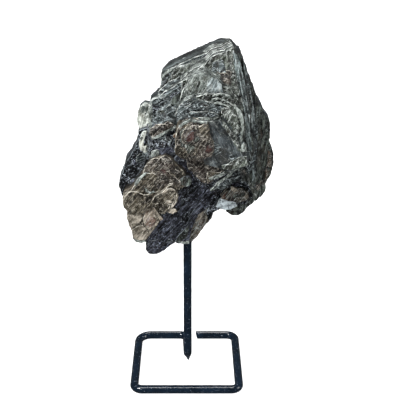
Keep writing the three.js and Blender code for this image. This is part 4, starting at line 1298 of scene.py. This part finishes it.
def laid_ledge(name, ledge):
    """A thin sheet that lies on a book's face."""
    book = ledge.book
    seed = len(name)
    ring = anticlockwise(resampled(ledge.outline, LEDGE_RIM_PITCH))
    torn = [ledge.torn * (0.4 - abs(uneven(x, z, seed, LEDGE_NOTCH_WAVE))
                          + 0.5 * uneven(x, z, seed, LEDGE_FRAY_WAVE))
            for x, z in ring]

    def cap_y(x, z):
        lift = ledge.proud * (0.9 + LEDGE_WARP * uneven(x, z, seed + 0.5, LEDGE_WARP_WAVE))
        return book.face_y(book.face, x, z, seed * LEDGE_SHIFT, lift)

    def back_y(x, z):
        return book.plane_y(book.face - book.facing * LEDGE_ROOT, x, z)

    return slab(name, pushed(ring, torn), book.facing, cap_y, back_y, LEDGE_BEVEL, FACE_PITCH,
                sheet_finishes(ledge.finish, True))


# ---- Joining and cutting ----

def with_boolean(target, operation, operands):
    """Gives the target the mesh of one boolean with closed objects, which are used up."""
    group = bpy.data.collections.new("operands")
    bpy.context.scene.collection.children.link(group)
    for operand in operands:
        group.objects.link(operand)
    cut = target.modifiers.new("cut", "BOOLEAN")
    cut.operation = operation
    cut.operand_type = "COLLECTION"
    cut.collection = group
    cut.solver = "MANIFOLD"
    cut.material_mode = "TRANSFER"
    ready = target.evaluated_get(bpy.context.evaluated_depsgraph_get())
    mesh = bpy.data.meshes.new_from_object(ready)
    target.modifiers.clear()
    target.data = mesh
    for operand in operands:
        bpy.data.objects.remove(operand)
    bpy.data.collections.remove(group)


def rod_hole():
    """The drilled hole that the upright is glued into."""
    radius = COATED_RADIUS + HOLE_CLEARANCE
    angles = [2 * math.pi * i / ROD_SIDES for i in range(ROD_SIDES)]
    rings = [[placed(radius * math.cos(angle), radius * math.sin(angle), z) for angle in angles]
             for z in (HOLE_START_Z, ROD_TOP_Z + HOLE_SPARE_DEPTH)]
    return tube("rod_hole", rings, "black_layers")


def mica_stone():
    """The whole stone as one closed mesh, kept inside the box of its solid."""
    slabs = []
    for book in BOOKS.values():
        slabs += book_sheets(book) + book_flakes(book)
    slabs += [laid_ledge(name, ledge) for name, ledge in LEDGES.items()]
    stone = shown(slabs.pop(0))
    with_boolean(stone, "UNION", slabs)
    with_boolean(stone, "DIFFERENCE", [rod_hole()])
    low, high = (Vector(corner) for corner in STONE_BOX)
    for vertex in stone.data.vertices:
        vertex.co = [min(max(vertex.co[i], low[i]), high[i]) for i in range(3)]
    smoothed(stone, STONE_CREASE)
    stone.name = "mica_stone"
    return stone


# ---- The stand's rod ----

def bend(corner, arriving, leaving, radius):
    """Centre points and directions round one bend of the rod."""
    turn = arriving.angle(leaving)
    start = corner - arriving * radius * math.tan(turn / 2)
    inward = (leaving - arriving * arriving.dot(leaving)).normalized()
    stations = []
    for i in range(BEND_STEPS + 1):
        angle = turn * i / BEND_STEPS
        along = arriving * radius * math.sin(angle)
        point = start + along + inward * radius * (1 - math.cos(angle))
        stations.append((point, arriving * math.cos(angle) + inward * math.sin(angle)))
    return stations


def straight(start, end):
    """Stations between two points, without the points themselves."""
    span = end - start
    count = max(1, round(span.length / STRAIGHT_STEP))
    return [(start + span * i / count, span.normalized()) for i in range(1, count)]


def rod_stations():
    """Centre points and directions along the rod, close together on bends and straights."""
    # The front rail lies in by its coat, whose front is then where the bare rod's would be.
    front = RAIL_FRONT + LACQUER
    # The corners of the route, and the radius of the bend at each. The coated rod lies on z = 0.
    route = [(CUT_END_X, RAIL_BACK, 0), (RAIL_RIGHT, RAIL_BACK, 5.5), (RAIL_RIGHT, front, 5),
             (RAIL_LEFT, front, 5), (RAIL_LEFT, RAIL_BACK, 8), (INNER_CORNER_X, RAIL_BACK, 4.5),
             (UPRIGHT_X, 0, 3.2)]
    corners = [(Vector((x, y, COATED_RADIUS)), radius) for x, y, radius in route]
    corners.append((Vector((UPRIGHT_X, 0, ROD_TOP_Z)), 0))
    stations = [(corners[0][0], (corners[1][0] - corners[0][0]).normalized())]
    for (before, _), (corner, radius), (after, _) in zip(corners, corners[1:], corners[2:]):
        turned = bend(corner, (corner - before).normalized(), (after - corner).normalized(),
                      radius)
        stations += straight(stations[-1][0], turned[0][0]) + turned
    last = corners[-1][0]
    return stations + straight(stations[-1][0], last) + [(last, Vector((0, 0, 1)))]


def rod_ring(centre, direction, slant):
    """The lacquered rod's outline at one station, drawn out to a point near the heel."""
    if abs(direction.z) < 1e-6:
        up = Vector((0, 0, 1))
    else:
        up = (Vector((0, 1, 0)) - direction * direction.y).normalized()
    side = up.cross(direction)
    ring = []
    for i in range(ROD_SIDES):
        angle = 2 * math.pi * i / ROD_SIDES
        spot = side * math.cos(angle) + up * math.sin(angle)
        bump = noise.noise((centre + spot * COATED_RADIUS) / LACQUER_WAVE)
        point = centre + spot * (COATED_RADIUS - LACQUER_UNEVENNESS + LACQUER_UNEVENNESS * bump)
        point.x -= spot.z * COATED_RADIUS * slant
        away = (point - DRIP_ROOT).length / DRIP_WIDTH
        point.y -= DRIP_LENGTH * math.exp(-away * away)
        ring.append(placed(*point))
    return ring


def bent_rod():
    """The whole rod: a round section swept along its route, with its first end cut at a slant."""
    rings = []
    for centre, direction in rod_stations():
        slant = 0 if rings else math.tan(CUT_END_SLANT)
        rings.append(rod_ring(centre, direction, slant))
    rod = shown(tube("bent_rod", rings, "black_enamel"))
    smoothed(rod, ROD_CREASE)
    return rod


# ---- Stage: metres and watts ----

PAPER_HALF = 7.5
PAPER_GLOW = 1.0
PAPER_GREY = 0.4
PAPER_ROUGHNESS = 0.9
ROOM_LIGHT = 0.1
LIT_PLACE = Vector((0, 0, 0.13))
WHITE = (1, 1, 1, 1)

# Each softbox: its place, its width and depth, its power, and whether glossy finishes mirror it.
SOFTBOXES = {
    "key": ((-0.55, -0.65, 0.95), 0.35, 0.35, 23, True),
    "fill": ((1.05, -0.3, 0.4), 0.5, 0.5, 5, True),
    "top": ((0.1, 0.35, 1.1), 0.35, 0.35, 4.2, True),
    "front_strip": ((0, -0.2, 1.1), 0.6, 0.16, 4.5, True),
    "back_left": ((-0.5, 1, 0.2), 0.5, 0.5, 8, False),
    "back_right": ((0.5, 1, 0.2), 0.5, 0.5, 8, False),
}

# The camera looks along +Y, and down by its dip in degrees. Its place is in millimetres of the
# maker's frame, and its reach in metres.
PICTURE_PX = 416
CAMERA_AXIS_PX = 190.2
CAMERA_FOCAL_PX = 819.8
CAMERA_DIP = 24
CAMERA_PLACE = (1.86, -455.6, 311.7)
CAMERA_REACH = 100


def white_paper():
    """Glowing white paper, the same all over."""
    paper = bpy.data.materials.new("white_paper")
    paper.use_nodes = True
    sockets = {"Base Color": (PAPER_GREY, PAPER_GREY, PAPER_GREY, 1),
               "Roughness": PAPER_ROUGHNESS, "Specular IOR Level": 0,
               "Emission Color": WHITE, "Emission Strength": PAPER_GLOW}
    for socket, value in sockets.items():
        paper.node_tree.nodes["Principled BSDF"].inputs[socket].default_value = value
    return paper


def paper_sheet(name, corners, faces, paper):
    """A piece of the studio, which no glossy finish mirrors."""
    sheet = shown(modelled(name, corners, faces, [paper]))
    sheet.visible_glossy = False
    return sheet


def studio_paper():
    """The floor, and far off the wall that closes the view and lights nothing."""
    paper = white_paper()
    low = [(x * PAPER_HALF, y * PAPER_HALF, 0) for x, y in ((-1, -1), (1, -1), (1, 1), (-1, 1))]
    high = [(x, y, PAPER_HALF) for x, y, _ in low]
    paper_sheet("studio_floor", low, [[0, 1, 2, 3]], paper)
    wall = paper_sheet("studio_wall", low + high, band(4, 4, 0), paper)
    wall.visible_diffuse = False
    wall.visible_shadow = False


def softbox(name, place, width, depth, power, is_mirrored):
    """An area light that points at the middle of the specimen."""
    light = bpy.data.lights.new(name, "AREA")
    light.shape = "RECTANGLE"
    light.size = width
    light.size_y = depth
    light.energy = power
    lamp = shown(bpy.data.objects.new(name, light))
    lamp.location = place
    lamp.rotation_euler = (LIT_PLACE - Vector(place)).to_track_quat("-Z", "Y").to_euler()
    lamp.visible_glossy = is_mirrored


def studio():
    """White paper, soft light from all round and the softboxes."""
    world = bpy.data.worlds.new("studio")
    world.use_nodes = True
    background = world.node_tree.nodes["Background"]
    background.inputs["Color"].default_value = WHITE
    background.inputs["Strength"].default_value = ROOM_LIGHT
    bpy.context.scene.world = world
    studio_paper()
    for name, row in SOFTBOXES.items():
        softbox(name, *row)


def camera():
    """The show side, seen from a little above, with the axis left of the picture's middle."""
    lens = bpy.data.cameras.new("show_side")
    lens.lens = CAMERA_FOCAL_PX / PICTURE_PX * lens.sensor_width
    lens.shift_x = 0.5 - CAMERA_AXIS_PX / PICTURE_PX
    lens.clip_end = CAMERA_REACH
    eye = shown(bpy.data.objects.new("show_side", lens))
    eye.location = placed(*CAMERA_PLACE)
    eye.rotation_euler = (math.radians(90 - CAMERA_DIP), 0, 0)
    bpy.context.scene.camera = eye


camera()
studio()
bpy.context.scene.view_settings.view_transform = "Standard"

stone = mica_stone()
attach(stone, "root")
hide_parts("mica_mass")

rod = bent_rod()
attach(rod, "root")
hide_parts("wire_stand")
